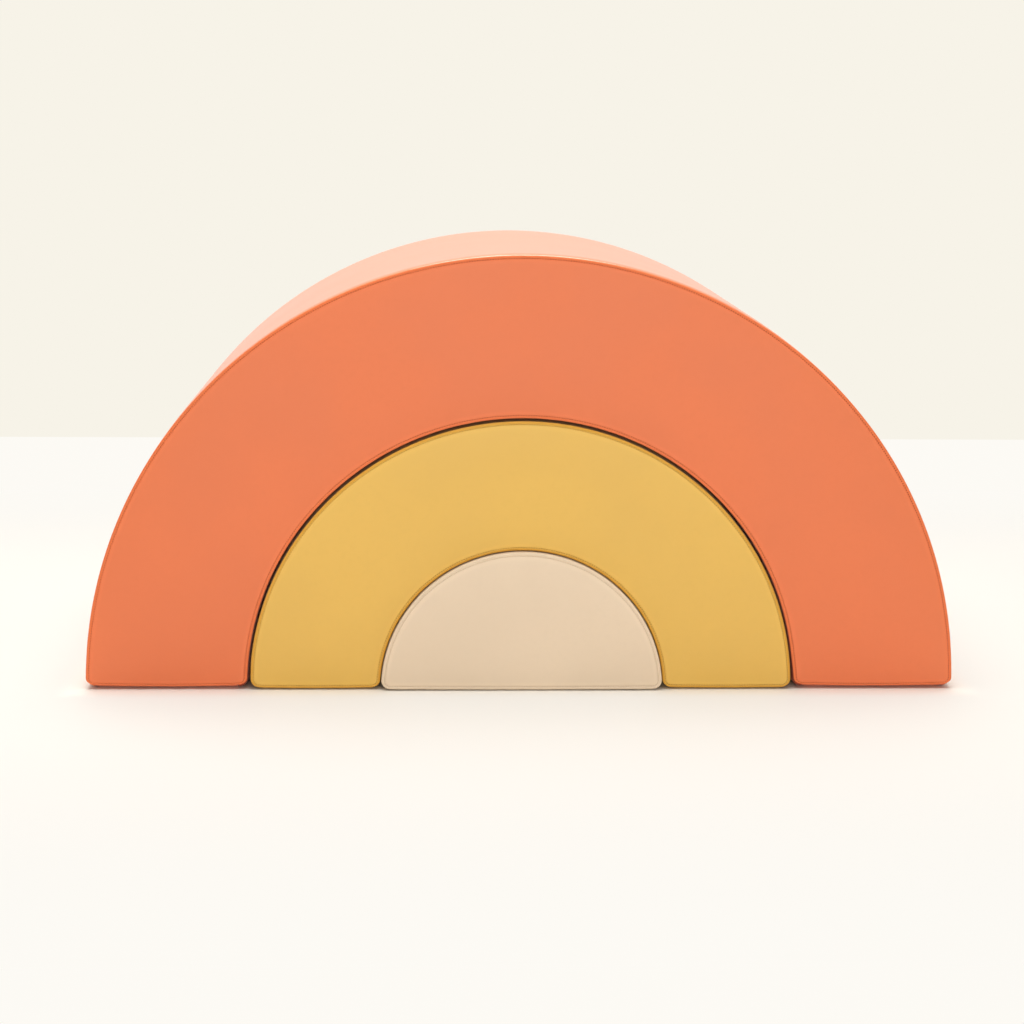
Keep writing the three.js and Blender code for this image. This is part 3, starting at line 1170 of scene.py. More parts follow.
def stitch_recipe() -> Recipe:
    """A row of lock stitches along lines: each a short arched thread whose ends dive into the cover.

    Returns:
        The recipe.
    """
    recipe = Recipe("lock_stitches")
    graph = recipe.graph
    pitch = recipe.take("Pitch")
    length = recipe.take("Stitch length")
    thread = recipe.take("Thread radius")
    rise = recipe.take("Rise")
    sink = recipe.take("Sink")
    seed = recipe.take("Seed", "NodeSocketInt")
    material = recipe.take("Material", "NodeSocketMaterial")
    line = graph.node("GeometryNodeMeshToCurve", {}, {0: recipe.path})
    points = graph.node("GeometryNodeResampleCurve", {"mode": "LENGTH"}, {"Curve": line, "Length": pitch})
    half = 0.5 * length
    reach = 0.3 * length
    arched = 1.6 * rise
    ends = {
        "Resolution": 4,
        "Start": vector(graph, -1 * half, 0.0, -1 * sink),
        "Start Handle": vector(graph, -1 * reach, 0.0, arched),
        "End Handle": vector(graph, reach, 0.0, arched),
        "End": vector(graph, half, 0.0, -1 * sink),
    }
    arch = graph.node("GeometryNodeCurvePrimitiveBezierSegment", {}, ends)
    stitch = round_strand(graph, arch, thread, 5)
    up = graph.node("GeometryNodeInputNamedAttribute", {"data_type": "FLOAT_VECTOR"}, {"Name": UP_MARK})
    along = graph.node("GeometryNodeInputTangent")
    axes = {"primary_axis": "Z", "secondary_axis": "X"}
    turned = graph.node("FunctionNodeAxesToRotation", axes, {0: up, 1: along})
    uneven = {"Min": (0.93, 0.95, 0.9), "Max": (1.04, 1.08, 1.1), "Seed": seed}
    scale = graph.node("FunctionNodeRandomValue", {"data_type": "FLOAT_VECTOR"}, uneven)
    feeds = {"Points": points, "Instance": stitch, "Rotation": turned, "Scale": scale}
    recipe.give(graph.node("GeometryNodeInstanceOnPoints", {}, feeds), material)
    return recipe


def coil_recipe() -> Recipe:
    """A zip's closed coil along a line: hooks from the left and the right in turn, meeting over the middle.

    Returns:
        The recipe.
    """
    recipe = Recipe("zip_coil")
    graph = recipe.graph
    pitch = recipe.take("Pitch")
    reach = recipe.take("Half width")
    wire = recipe.take("Wire radius")
    drop = recipe.take("Drop")
    material = recipe.take("Material", "NodeSocketMaterial")
    line = graph.node("GeometryNodeMeshToCurve", {}, {0: recipe.path})
    feeds = {"Curve": line, "Length": 0.5 * pitch}
    points = graph.node("GeometryNodeResampleCurve", {"mode": "LENGTH"}, feeds)
    slant = 0.22 * pitch
    overlap = -0.35 * reach
    bow = -1.33 * drop
    ends = {
        "Resolution": 5,
        "Start": vector(graph, reach, slant, 0.0),
        "Start Handle": vector(graph, reach, slant, bow),
        "End Handle": vector(graph, overlap, -1 * slant, bow),
        "End": vector(graph, overlap, -1 * slant, 0.0),
    }
    hook = round_strand(graph, graph.node("GeometryNodeCurvePrimitiveBezierSegment", {}, ends), wire, 5)
    number = graph.node("GeometryNodeInputIndex")
    turned = vector(graph, 0.0, 0.0, math.pi * (number % 2.0))
    rotation = graph.node("FunctionNodeEulerToRotation", {}, {0: turned})
    feeds = {"Points": points, "Instance": hook, "Rotation": rotation}
    recipe.give(graph.node("GeometryNodeInstanceOnPoints", {}, feeds), material)
    return recipe


@dataclass
class SewingLines:
    """Lines of topstitching on one piece, gathered before they are sewn."""

    points: list[np.ndarray] = field(default_factory=list)
    ups: list[np.ndarray] = field(default_factory=list)
    edges: list[tuple[int, int]] = field(default_factory=list)
    count: int = 0

    def add(self, points: np.ndarray, up: tuple[float, float, float], closed: bool) -> None:
        """Adds a line.

        Args:
            points: Its points, on the cover's surface.
            up: Which way the thread stands up.
            closed: Whether it runs back to its start.
        """
        here, after = rings_between(len(points), closed)
        self.edges += [(self.count + int(a), self.count + int(b)) for a, b in zip(here, after)]
        self.points.append(points)
        self.ups.append(np.broadcast_to(np.array(up), points.shape))
        self.count += len(points)

    def mesh(self, name: str) -> bpy.types.Mesh:
        """Makes all lines the edges of one mesh, each point marked with its way up.

        Args:
            name: Name of the mesh.

        Returns:
            The mesh.
        """
        lines = bpy.data.meshes.new(name)
        lines.from_pydata(np.concatenate(self.points).tolist(), self.edges, [])
        marks = lines.attributes.new(UP_MARK, "FLOAT_VECTOR", "POINT")
        marks.data.foreach_set("vector", np.concatenate(self.ups).astype(np.float32).ravel())
        return lines


# The pieces of the set


def ripples(rng: np.random.Generator, along: np.ndarray, lengths: Sequence[float]) -> np.ndarray:
    """Faint unevenness along a row of points.

    Args:
        rng: Where its random heights and phases come from.
        along: Places of the points along the row.
        lengths: Length of each of its waves.

    Returns:
        The unevenness at each point.
    """
    return sum(
        rng.uniform(*RIPPLE_HEIGHTS) * MM
        * np.sin(2 * math.pi * along / length + rng.uniform(0, ANY_PHASE))
        for length in lengths
    )


@dataclass(frozen=True)
class SewnEdge:
    """Section of a face panel's edge: a bead over the turned seam, a stitched channel, then the face.

    Attributes:
        width: From the seam to the topstitching.
        bead: Radius of the bead's outside.
        top: Height of the bead over the seam plane.
        tuck: Angle at which the bead starts under its outside.
        channel: How far the topstitching lies below the face.
        channel_reach: How fast that fades.
        puff: How far the padding swells beside the topstitching.
        puff_start: How soon it does.
        puff_reach: How fast that fades.
        level: How far past the topstitching the face is level.
        lining: How far past the topstitching the hidden side is level.
    """

    width: float
    bead: float = 1.7 * MM
    top: float = 1.75 * MM
    tuck: float = -1.2
    channel: float = 0.3 * MM
    channel_reach: float = 0.6 * MM
    puff: float = 0.5 * MM
    puff_start: float = 1.8 * MM
    puff_reach: float = 7 * MM
    level: float = 24 * MM
    lining: float = 3 * MM

    def outside(self, deepest: float) -> list[tuple[float, float]]:
        """Insets from the seam and heights over the seam plane, from the seam to the middle of the face.

        Args:
            deepest: Inset of the last row.

        Returns:
            The rows.
        """
        rows = []
        for angle in np.linspace(self.tuck, math.pi / 2, 8):
            rows.append((self.bead * (1 - math.cos(angle)), self.top - self.bead * (1 - math.sin(angle))))
        lowest = COVER - self.channel
        for share in CHANNEL_SHARES:
            inset = self.bead + share * (self.width - self.bead)
            rows.append((inset, lowest + (self.top - lowest) * (1 - share**3)))
        for past in PADDING_ROWS:
            swollen = self.puff * (1 - math.exp(-past / self.puff_start)) * math.exp(-past / self.puff_reach)
            drawn = self.channel * math.exp(-past / self.channel_reach)
            rows.append((self.width + float(past), COVER + swollen - drawn))
        for inset in np.geomspace(self.width + self.level, deepest, 8):
            rows.append((float(inset), COVER + self.puff * math.exp(-(inset - self.width) / self.puff_reach)))
        return rows

    def inside(self, deepest: float) -> list[tuple[float, float]]:
        """The same on the hidden side of the panel, from the middle of the face to the seam."""
        insets = np.geomspace(self.width + self.lining, deepest, 5)[::-1]
        return [(float(inset), 0.0) for inset in insets] + [(0.75 * self.width, -0.2 * MM)]


@dataclass
class Zip:
    """A coil zip in a foot panel: two hemmed strips, two tapes, the coil with its stop, and a slider.

    Attributes:
        piece: The piece that it closes.
        left, right: Ends of the foot's flat.
        opening: Width of the slot between the hems.
        hem: Width of a folded hem.
        margin: From each end of the panel to the slot.
        fit: Gap between the two strips past the slot.
        edge_fit: Gap between a strip and what it is sewn to at its side.
        slot_corner: Radius of the slot's corners.
        sewn_share: How far across a hem its topstitching runs.
        sewn_past: How far past the slot it runs.
        channel: How far it draws the panel up.
        channel_width: How far to each side it does.
        tape_inside: From the middle of the zip to a tape.
        tooth_pitch: From one hook of the coil to the next on the same side.
        wire, drop: Radius of the coil's wire, and how far its hooks bend down.
        coil_start: From the chain's front end to the first hook.
        stop_length, stop_height, stop_bevel: Length, half the height and edge radius of its stop.
    """

    piece: SoftPiece
    left: float
    right: float
    opening: float = 11 * MM
    hem: float = 9 * MM
    margin: float = 43.8 * MM
    fit: float = 0.3 * MM
    edge_fit: float = 0.15 * MM
    slot_corner: float = 2 * MM
    sewn_share: float = 0.75
    sewn_past: float = 6 * MM
    channel: float = 0.6 * MM
    channel_width: float = 1.3 * MM
    tape_inside: float = 2.3 * MM
    tooth_pitch: float = 1.5 * MM
    wire: float = 0.42 * MM
    drop: float = 0.72 * MM
    coil_start: float = 5 * MM
    stop_length: float = 4 * MM
    stop_height: float = 1.6 * MM
    stop_bevel: float = 0.6 * MM

    def __post_init__(self) -> None:
        """Takes the zip's place from the frame."""
        low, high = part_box(f"{self.piece.name}_zip_chain")
        self.middle = (low.x + high.x) / 2
        self.chain_front = low.y
        self.chain_back = high.y
        self.level = (low.z + high.z) / 2
        self.half_width = (high.x - low.x) / 2
        self.half_slot = self.piece.half_depth - self.margin
        self.sewn_across = self.opening / 2 + self.sewn_share * self.hem
        self.sewn_along = self.half_slot + self.sewn_past

    def _drawn_up(self, x: np.ndarray, y: np.ndarray) -> np.ndarray:
        """How far the hems' topstitching draws the panel up, at places from the middle of the piece."""
        beside = np.abs(np.maximum(np.abs(x - self.middle) - self.sewn_across, np.abs(y) - self.sewn_along))
        return self.channel * np.clip(1 - beside / self.channel_width, 0.0, 1.0)

    def _slot_edge(self, y: np.ndarray) -> np.ndarray:
        """How far from the zip's middle the slot's edge is, at places along the piece.

        Args:
            y: Places from the middle of the piece.

        Returns:
            Half the slot's width there: less at its rounded ends, and next to nought past them.
        """
        past = np.clip(np.abs(y) - (self.half_slot - self.slot_corner), 0.0, self.slot_corner)
        rounded = self.slot_corner - np.sqrt(self.slot_corner**2 - past**2)
        inside = np.abs(y) <= self.half_slot + TOUCHING
        return np.where(inside, self.opening / 2 - rounded, self.fit / 2)

    def _stations(self) -> np.ndarray:
        """Places along the zip at which the strips have points.

        Returns:
            The places, close together at the slot's ends and at the panel's seams.
        """
        corner = self.half_slot - self.slot_corner * (1 - np.sin(np.linspace(0.0, math.pi / 2, 6)))
        stitches = self.sewn_along + self.channel_width * np.array([-1.0, 0.0, 1.0])
        inside = np.linspace(0.0, self.half_slot - 8 * MM, 28)
        past = [self.half_slot + 0.9 * MM]
        ends = self.piece.half_depth - STRIP_END_ROWS
        half = np.concatenate([inside, corner, past, stitches, ends])
        return np.concatenate([-half[:0:-1], half])

    def strip(self, half: Half) -> bpy.types.Object:
        """One half of the zipped foot panel, folded back in a hem along the slot.

        Args:
            half: Which half.

        Returns:
            The strip.
        """
        side = half.value
        y = self._stations()
        edge = (self.left if half is Half.LEFT else self.right) - side * self.edge_fit
        slot = self.middle + side * self._slot_edge(y)
        fold = COVER
        ring_x = [np.full_like(y, edge - side * step) for step in STRIP_SIDE_ROWS]
        ring_z = [np.full_like(y, self.piece.seam_dip(step)) for step in STRIP_SIDE_ROWS]
        for step in (25 * MM, 8 * MM, self.channel_width, 0.0, -self.channel_width):
            ring_x.append(np.full_like(y, self.middle + side * (self.sewn_across + step)))
            ring_z.append(self._drawn_up(ring_x[-1], y))
        for angle in np.linspace(-math.pi / 2, math.pi / 2, 9):
            ring_x.append(slot + side * fold * (1 - math.cos(angle)))
            ring_z.append(np.full_like(y, fold * (1 + math.sin(angle))))
        raw_edge = [(self.hem - 0.4 * MM, 2 * fold), (self.hem, 2 * fold - 0.5 * MM), (self.hem, fold)]
        for step, height in raw_edge:
            ring_x.append(slot + side * step)
            ring_z.append(np.full_like(y, height))
        for step in STRIP_SIDE_ROWS[::-1]:
            ring_x.append(np.full_like(y, edge - side * step))
            ring_z.append(np.full_like(y, fold + self.piece.seam_dip(step)))
        from_face = self.piece.half_depth - np.abs(y)
        dips = self.piece.seam_dips(from_face)
        points = lattice(np.array(ring_x), y, np.array(ring_z) + dips)
        points[..., 2] += self.piece.lifted(points[..., 0], points[..., 2], from_face)
        points[..., 1] += self.piece.centre
        seam = self.piece.plain_mark(np.minimum(np.abs(points[..., 0] - edge), from_face))
        name = f"{self.piece.name}_zip_cover_{half.name.lower()}"
        return piece_from(name, points, tube_faces(*points.shape[:2]), self.piece.cover, seam)

    def sew_hems(self, lines: SewingLines) -> None:
        """Adds the topstitching along both hems and across the ends of the slot.

        Args:
            lines: The piece's topstitching so far.
        """
        inset, reach = self.sewn_across, self.sewn_along
        corners = [(inset, -reach), (inset, reach), (-inset, reach), (-inset, -reach)]
        along = []
        for (x, y), (next_x, next_y) in zip(corners, corners[1:] + corners[:1]):
            share = np.linspace(0.0, 1.0, 60, endpoint=False)[:, None]
            along.append(np.array([x, y]) + share * np.array([next_x - x, next_y - y]))
        plan = np.concatenate(along)
        points = lattice(self.middle + plan[:, 0], self.piece.centre + plan[:, 1], self.channel)
        lines.add(points, (0.0, 0.0, -1.0), True)

    def tape(self, half: Half) -> bpy.types.Object:
        """One woven tape: a ribbon with a thicker edge where the coil is sewn on.

        Args:
            half: Which side of the zip it is on.

        Returns:
            The tape.
        """
        low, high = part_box(f"{self.piece.name}_zip_tape_{half.name.lower()}")
        side = half.value
        far = high.x if half is Half.RIGHT else low.x
        near = self.middle + side * self.tape_inside
        thick = (high.z - low.z) / 2
        level = (low.z + high.z) / 2
        y = np.linspace(low.y, high.y, 90)
        width = abs(far - near)
        stations = np.array([0.0, 0.12, 0.5, 1.2, 2.0, 0.5 * width / MM, width / MM - 0.4, width / MM]) * MM
        swell = np.array([0.1, 0.7, 1.0, 0.95, 0.7, 0.7, 0.7, 0.25]) * thick
        rng = np.random.default_rng(TAPE_SEED + side)
        ripple = ripples(rng, y, rng.uniform(*TAPE_RIPPLES, 4))
        ring_x = np.concatenate([near + side * stations, near + side * stations[::-1]])
        ring_z = np.concatenate([-swell, swell[::-1]])
        points = lattice(ring_x[:, None], y, level + ring_z[:, None] + ripple)
        name = f"{self.piece.name}_tape_{half.name.lower()}"
        return piece_from(name, points, tube_faces(*points.shape[:2]), self.piece.tape_finish)

    def coil(self, recipe: Recipe) -> bpy.types.Object:
        """The closed coil, hook by hook.

        Args:
            recipe: The recipe for it.

        Returns:
            The coil.
        """
        start = self.chain_front + self.coil_start
        lines = bpy.data.meshes.new("coil_line")
        ends = [(self.middle, start, self.level), (self.middle, self.chain_back, self.level)]
        lines.from_pydata(ends, [(0, 1)], [])
        values = {
            "Pitch": self.tooth_pitch,
            "Half width": self.half_width - 0.5 * MM,
            "Wire radius": self.wire,
            "Drop": self.drop,
            "Material": self.piece.coil_finish,
        }
        return recipe.run(f"{self.piece.name}_coil", lines, values)

    def stop(self) -> bpy.types.Object:
        """The moulded stop at the front end of the coil.

        Returns:
            The stop.
        """
        bevel = self.stop_bevel
        angles = np.linspace(0.0, 2 * math.pi, 24, endpoint=False)
        across, up = np.cos(angles), np.sin(angles)
        corner_x = np.sign(np.round(across, 6)) * (self.half_width - bevel) + bevel * across
        corner_z = np.sign(np.round(up, 6)) * (self.stop_height - bevel) + bevel * up
        along = np.array([0.0, 0.06, 0.2, 0.8, 0.94, 1.0])
        shrink = np.array([0.7, 0.92, 1.0, 1.0, 0.92, 0.7])
        x = self.middle + corner_x[:, None] * shrink
        y = self.chain_front + self.stop_length * along + 0.2 * MM
        z = self.level + corner_z[:, None] * shrink
        points = lattice(x, y, z)
        name = f"{self.piece.name}_zip_stop"
        return piece_from(name, points, tube_faces(*points.shape[:2]), self.piece.coil_finish)


@dataclass
class SoftPiece:
    """One foam block in its sewn cover.

    Attributes:
        name: First word of its nodes' names.
        body: The body that it rides on.
        upholstery: Its colours.
        stitch_inset: How far inside the seam the topstitching runs.
        arc_steps: Steps along one side of its outline.
        seed: Seed for its unevenness.
        base_lift: How far the seam along a face's base is drawn up off the floor.
        crown_belly: How far the outer gusset swells between its seams.
        crown_plump: How far the cover stands past its solid on the outer side.
        tunnel_belly: How far the tunnel's gusset swells between its seams.
        tunnel_plump: How far the cover stands past its solid in the tunnel.
        slump: How far the seams over the top are drawn down.
        has_tunnel: Whether it is an arch.
        dark_tunnel: Whether its tunnel's gusset is painted in shade, for the nest where light hardly reaches
            it.
        dark_crown: Whether its crown is painted in shade, for the nest where light hardly reaches it.
        crown_sway: How far its crown's left leans to the left at the faces.
        tunnel_sway: How far its tunnel's right leans to the left at the faces.
        sway_reach, sway_start, sway_rise: How fast a lean fades, how high it starts, how soon it is full.
        lift_height, lift_reach: How high and how far behind the face a base seam draws the cover up.
        lift_middle, lift_ends: Share of that in the middle of a foot, and what its ends have on top.
        slump_reach, slump_spread: How fast a slump fades behind the face, and its share over the face.
        belly_reach: How far from its seams a gusset has swollen.
        seam_draw, seam_reach: How far a seam draws in the panel beside it, and how fast that fades.
        seam_hollow, hollow_spread: Depth of the hollow past that, and how many times wider it is.
        stitch_pitch, stitch_length: From one stitch to the next, and how much thread shows.
        thread_radius, thread_rise, thread_sink: Its radius, how far it stands up, how far it dives in.
        pucker, pucker_reach: Height of the puckers along a seam, and how fast they fade.
        pucker_lengths, pucker_shares: The least and the largest length, and share of the height.
        pucker_count: How many run together.
        fullness: Share of its solid's crown that a face swells to.
        foam_gap: Gap between the foam and its cover.
        zip_dent: Depth of the dent in the foam over the zip.
        fill: Share of the cover's inside that foam fills.
    """

    name: str
    body: str
    upholstery: Upholstery
    stitch_inset: float
    arc_steps: int
    seed: int
    base_lift: float
    crown_belly: float
    crown_plump: float = 0.0
    tunnel_belly: float = 0.0
    tunnel_plump: float = 0.0
    slump: float = 0.0
    has_tunnel: bool = True
    dark_tunnel: bool = False
    dark_crown: bool = False
    crown_sway: float = 0.0
    tunnel_sway: float = 0.0
    sway_reach: float = 30 * MM
    sway_start: float = 8 * MM
    sway_rise: float = 40 * MM
    lift_height: float = 30 * MM
    lift_reach: float = 18 * MM
    lift_middle: float = 0.8
    lift_ends: float = 0.5
    slump_reach: float = 9 * MM
    slump_spread: float = 0.4
    belly_reach: float = 35 * MM
    seam_draw: float = 1.35 * MM
    seam_reach: float = 1.1 * MM
    seam_hollow: float = 0.12 * MM
    hollow_spread: float = 6.0
    stitch_pitch: float = 3.5 * MM
    stitch_length: float = 2.5 * MM
    thread_radius: float = 0.33 * MM
    thread_rise: float = 0.25 * MM
    thread_sink: float = 0.35 * MM
    pucker: float = 0.16 * MM
    pucker_reach: float = 12 * MM
    pucker_lengths: tuple[float, float] = (0.022, 0.075)
    pucker_shares: tuple[float, float] = (0.2, 0.5)
    pucker_count: int = 14
    fullness: float = 0.55
    foam_gap: float = 0.6 * MM
    zip_dent: float = 5.2 * MM
    fill: float = 0.95

    def __post_init__(self) -> None:
        """Takes the piece's sizes from the frame and mixes its finishes."""
        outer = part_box(f"{self.name}_crown_band")[1].z + self.crown_plump
        inner = 0.0
        if self.has_tunnel:
            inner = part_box(f"{self.name}_tunnel_band")[1].z - COVER - self.tunnel_plump
        front_low, front_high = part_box(f"{self.name}_front_panel")
        back_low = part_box(f"{self.name}_back_panel")[0]
        self.half_depth = (back_low.y - front_high.y) / 2
        self.centre = (back_low.y + front_high.y) / 2
        self.outline = Outline(outer, inner, self.arc_steps)
        crown = self.fullness * (front_high.y - front_low.y - COVER)
        self.face = FilledFace(self.outline, self.half_depth, crown)
        self.edge = SewnEdge(self.stitch_inset)
        spine = 1.5 * MM if self.has_tunnel else 4 * MM
        self.deepest = 0.5 * self.outline.wall - spine
        left, right = self.outline.foot_span()
        self.zip = Zip(self, left, right)
        colours = self.upholstery
        leather = colours.slot("synthetic_leather")
        fabric = CoatedFabric(leather, colours.cover, self.stitch_inset, colours.drawn, colours.shaded_lip)
        self.cover = fabric.material()
        self.thread = Thread(colours.slot("thread"), colours.thread).material()
        self.tape_finish = WovenTape(colours.slot("zip_tape"), colours.trim).material()
        self.coil_finish = NylonCoil(colours.slot("zip_coil"), colours.trim).material()
        self.slider_finish = Lacquer(colours.slot("zip_slider"), colours.trim).material()

    def seam_dip(self, distance: float) -> float:
        """How far a gusset or foot panel is drawn in near its seam.

        Args:
            distance: Distance from the seam.

        Returns:
            The depth.
        """
        near = max(distance, 0.0) / self.seam_reach
        hollow = self.seam_hollow * math.exp(-((near / self.hollow_spread) ** 2))
        return self.seam_draw * math.exp(-near) + hollow

    def seam_dips(self, distances: np.ndarray) -> np.ndarray:
        """The same at many distances."""
        return np.array([self.seam_dip(distance) for distance in distances])

    def lifted(self, x: np.ndarray, height: np.ndarray, behind: Rows) -> np.ndarray:
        """How far points near a face's base seam are drawn up off the floor, most at the ends of a foot.

        Args:
            x: Where they are across the set.
            height: Their heights over the floor.
            behind: How far behind the face's seam they are.

        Returns:
            The lift of each.
        """
        middle = 0.5 * (self.outline.inner + self.outline.outer) if self.has_tunnel else 0.0
        from_middle = (np.abs(x) - middle) / (self.outline.outer - middle)
        up = np.clip(1 - height / self.lift_height, 0.0, 1.0) ** 2
        back = np.clip(1 - behind / self.lift_reach, 0.0, 1.0) ** 2
        return self.base_lift * (self.lift_middle + self.lift_ends * from_middle**2) * up * back

    def slumped(self, height: np.ndarray, away: float) -> np.ndarray:
        """How far points at those heights, that far from a face's seam over the top, are drawn down."""
        over = np.clip(height / self.outline.outer, 0.0, 1.0) ** 2
        return self.slump * over * math.exp(-((away / self.slump_reach) ** 2))

    def swayed(self, line: np.ndarray, away: float) -> np.ndarray:
        """How far points lean to the left, where pieces press together.

        Args:
            line: Their X and Z.
            away: How far they are from a face.

        Returns:
            The lean of each.
        """
        radius = np.maximum(np.linalg.norm(line, axis=1), 1 * MM)
        across = line[:, 0] / radius
        by_tunnel = np.exp(-(((radius - self.outline.inner) / self.sway_reach) ** 2))
        by_crown = np.exp(-(((radius - self.outline.outer) / self.sway_reach) ** 2))
        tunnel = np.clip(across, 0.0, 1.0) ** 2 * by_tunnel
        crown = np.clip(-across, 0.0, 1.0) ** 2 * by_crown
        raised = np.clip((line[:, 1] - self.sway_start) / self.sway_rise, 0.0, 1.0)
        share = math.exp(-((away / self.sway_reach) ** 2))
        return share * raised * (self.tunnel_sway * tunnel + self.crown_sway * crown)

    def plain_mark(self, seam: np.ndarray, nested: bool = False) -> np.ndarray:
        """Seam distances for a panel without topstitching: past where the finish draws a stitch line."""
        return seam + (NESTED if nested else UNSTITCHED)

    def _waves(self, side: Side) -> np.ndarray:
        """Small puckers along a seam.

        Args:
            side: Which face it is.

        Returns:
            The height of the puckers at each point of the outline.
        """
        rng = np.random.default_rng(self.seed + side.value)
        loop = self.outline.loop(0.0)
        steps = np.linalg.norm(np.roll(loop, -1, 0) - loop, axis=1)
        length = steps.sum()
        turn = 2 * math.pi * np.concatenate([[0.0], np.cumsum(steps)[:-1]]) / length
        waves = np.zeros(len(loop))
        for wavelength in rng.uniform(*self.pucker_lengths, self.pucker_count):
            share = rng.uniform(*self.pucker_shares)
            waves += share * np.sin(round(length / wavelength) * turn + rng.uniform(0, 2 * math.pi))
        return self.pucker * waves

    def _face_row(self, side: Side, inset: float, height: float, waves: np.ndarray) -> np.ndarray:
        """One row of points round a face panel.

        Args:
            side: Which face it is.
            inset: Distance inside the seam.
            height: Height over the seam plane before the face swells.
            waves: The puckers.

        Returns:
            The points.
        """
        loop = self.outline.loop(inset)
        fade = math.exp(-inset / self.pucker_reach)
        out = self.half_depth + height + self.face.rise(loop) + fade * waves
        up = loop[:, 1] + self.lifted(loop[:, 0], loop[:, 1], 0.0)
        up -= self.slumped(loop[:, 1], self.slump_spread * inset)
        return np.stack([loop[:, 0] - self.swayed(loop, 0.0), self.centre + side.value * out, up], -1)

    def _stitch_row(self, side: Side) -> np.ndarray:
        """The line of topstitching round a face, at the bottom of its channel."""
        return self._face_row(side, self.stitch_inset, COVER - self.edge.channel, self._waves(side))

    def _stitches_along(self, side: Side) -> np.ndarray:
        """How many stitches lie between the start of a face's topstitching and its points, and back again.

        Args:
            side: Which face it is.

        Returns:
            The count up to each point and, last, back to the first.
        """
        row = self._stitch_row(side)
        steps = np.linalg.norm(np.roll(row, -1, 0) - row, axis=1)
        along = np.concatenate([[0.0], np.cumsum(steps)])
        return along / along[-1] * math.floor(along[-1] / self.stitch_pitch)

    def face_panel(self, side: Side) -> bpy.types.Object:
        """A face panel: its hidden side, the bead over the seam, the stitched channel and the swollen face.

        Args:
            side: Which face it is.

        Returns:
            The panel.
        """
        rows = self.edge.inside(self.deepest) + self.edge.outside(self.deepest)
        waves = self._waves(side)
        points = np.stack([self._face_row(side, inset, height, waves) for inset, height in rows])
        count = points.shape[1]
        faces = lattice_faces(len(rows), count, False, True)
        faces += [corners[::-1] for corners in self.outline.cap_faces(0)]
        faces += self.outline.cap_faces((len(rows) - 1) * count)
        seam = np.repeat([inset for inset, _ in rows], count)
        panel = piece_from(f"{self.name}_{side.name.lower()}_cover", points, faces, self.cover, seam)
        mark_stitches(panel.data, self._stitches_along(side))
        return panel

    def band(self, inner: bool) -> bpy.types.Object:
        """A gusset between the two face panels, over the top or round the tunnel.

        Args:
            inner: Whether it is the tunnel's.

        Returns:
            The gusset.
        """
        radius = self.outline.inner if inner else self.outline.outer
        belly = self.tunnel_belly if inner else self.crown_belly
        half = np.concatenate([GUSSET_ROWS, np.linspace(90 * MM, self.half_depth, 7)])
        from_seam = np.concatenate([half, half[-2::-1]])
        y = half - self.half_depth
        y = np.concatenate([y, -y[-2::-1]])
        rng = np.random.default_rng(self.seed + (TUNNEL_SEED if inner else CROWN_SEED))
        count = self.outline.rail_steps + 1
        length = math.pi * radius
        along = np.linspace(0.0, length, count)
        dip = self.seam_dips(np.minimum(along, length - along))
        rows = []
        for place, distance in zip(y, from_seam):
            waves = ripples(rng, along, GUSSET_RIPPLES)
            swollen = belly * (1 - math.exp(-((distance / self.belly_reach) ** 2)))
            rows.append((place, self.seam_dip(distance) - swollen, waves))
        outside = [self._band_row(inner, y, inset, waves, dip) for y, inset, waves in rows]
        inside = [self._band_row(inner, y, inset + COVER, waves, dip) for y, inset, waves in rows[::-1]]
        points = np.stack(outside + inside)
        seam = np.concatenate([from_seam, from_seam])[:, None] + np.zeros(count)
        marks = self.plain_mark(seam, self.dark_tunnel if inner else self.dark_crown)
        name = f"{self.name}_{'tunnel' if inner else 'crown'}_cover"
        return piece_from(name, points, tube_faces(*points.shape[:2]), self.cover, marks)

    def _band_row(
        self, inner: bool, y: float, inset: float, waves: np.ndarray, dip: np.ndarray
    ) -> np.ndarray:
        """One row of a gusset along its side of the outline.

        Args:
            inner: Whether it is the tunnel's.
            y: Place along the depth.
            inset: Distance inside the outline.
            waves: How uneven the row is.
            dip: How far the row is drawn up at its ends.

        Returns:
            The points.
        """
        rail = self.outline.inner_rail if inner else self.outline.outer_rail
        from_face = self.half_depth - abs(y)
        line = rail(inset)
        out = line - rail(inset + 1 * MM)
        out /= np.linalg.norm(out, axis=1)[:, None]
        line = line + out * waves[:, None]
        up = np.maximum(line[:, 1], max(inset, 0.0)) + dip
        if not inner:
            up -= self.slumped(up, from_face)
        up += self.lifted(line[:, 0], up, from_face)
        across = line[:, 0] - self.swayed(line, from_face)
        return lattice(across, self.centre + y, up)

    def plain_foot(self) -> bpy.types.Object:
        """The plain panel under the left foot.

        Returns:
            The panel.
        """
        width = self.zip.right - self.zip.left
        depth = 2 * self.half_depth
        middle = 24 * MM
        x = np.concatenate([FOOT_ROWS, np.linspace(middle, width - middle, 9), width - FOOT_ROWS[::-1]])
        y = np.concatenate([FOOT_ROWS, np.linspace(middle, depth - middle, 25), depth - FOOT_ROWS[::-1]])
        from_face = np.minimum(y, depth - y)
        dip_x = self.seam_dips(np.minimum(x, width - x))
        dip_y = self.seam_dips(from_face)
        under = dip_x[:, None] + dip_y
        ring_x = np.concatenate([x, x[::-1]])
        ring_z = np.concatenate([under, under[::-1] + COVER])
        ring_z += self.lifted(self.zip.right - ring_x[:, None], ring_z, from_face)
        points = lattice(ring_x[:, None] - self.zip.right, self.centre - self.half_depth + y, ring_z)
        seam = np.minimum(np.minimum(ring_x, width - ring_x)[:, None], from_face)
        name = f"{self.name}_plain_foot_cover"
        return piece_from(name, points, tube_faces(*points.shape[:2]), self.cover, self.plain_mark(seam))

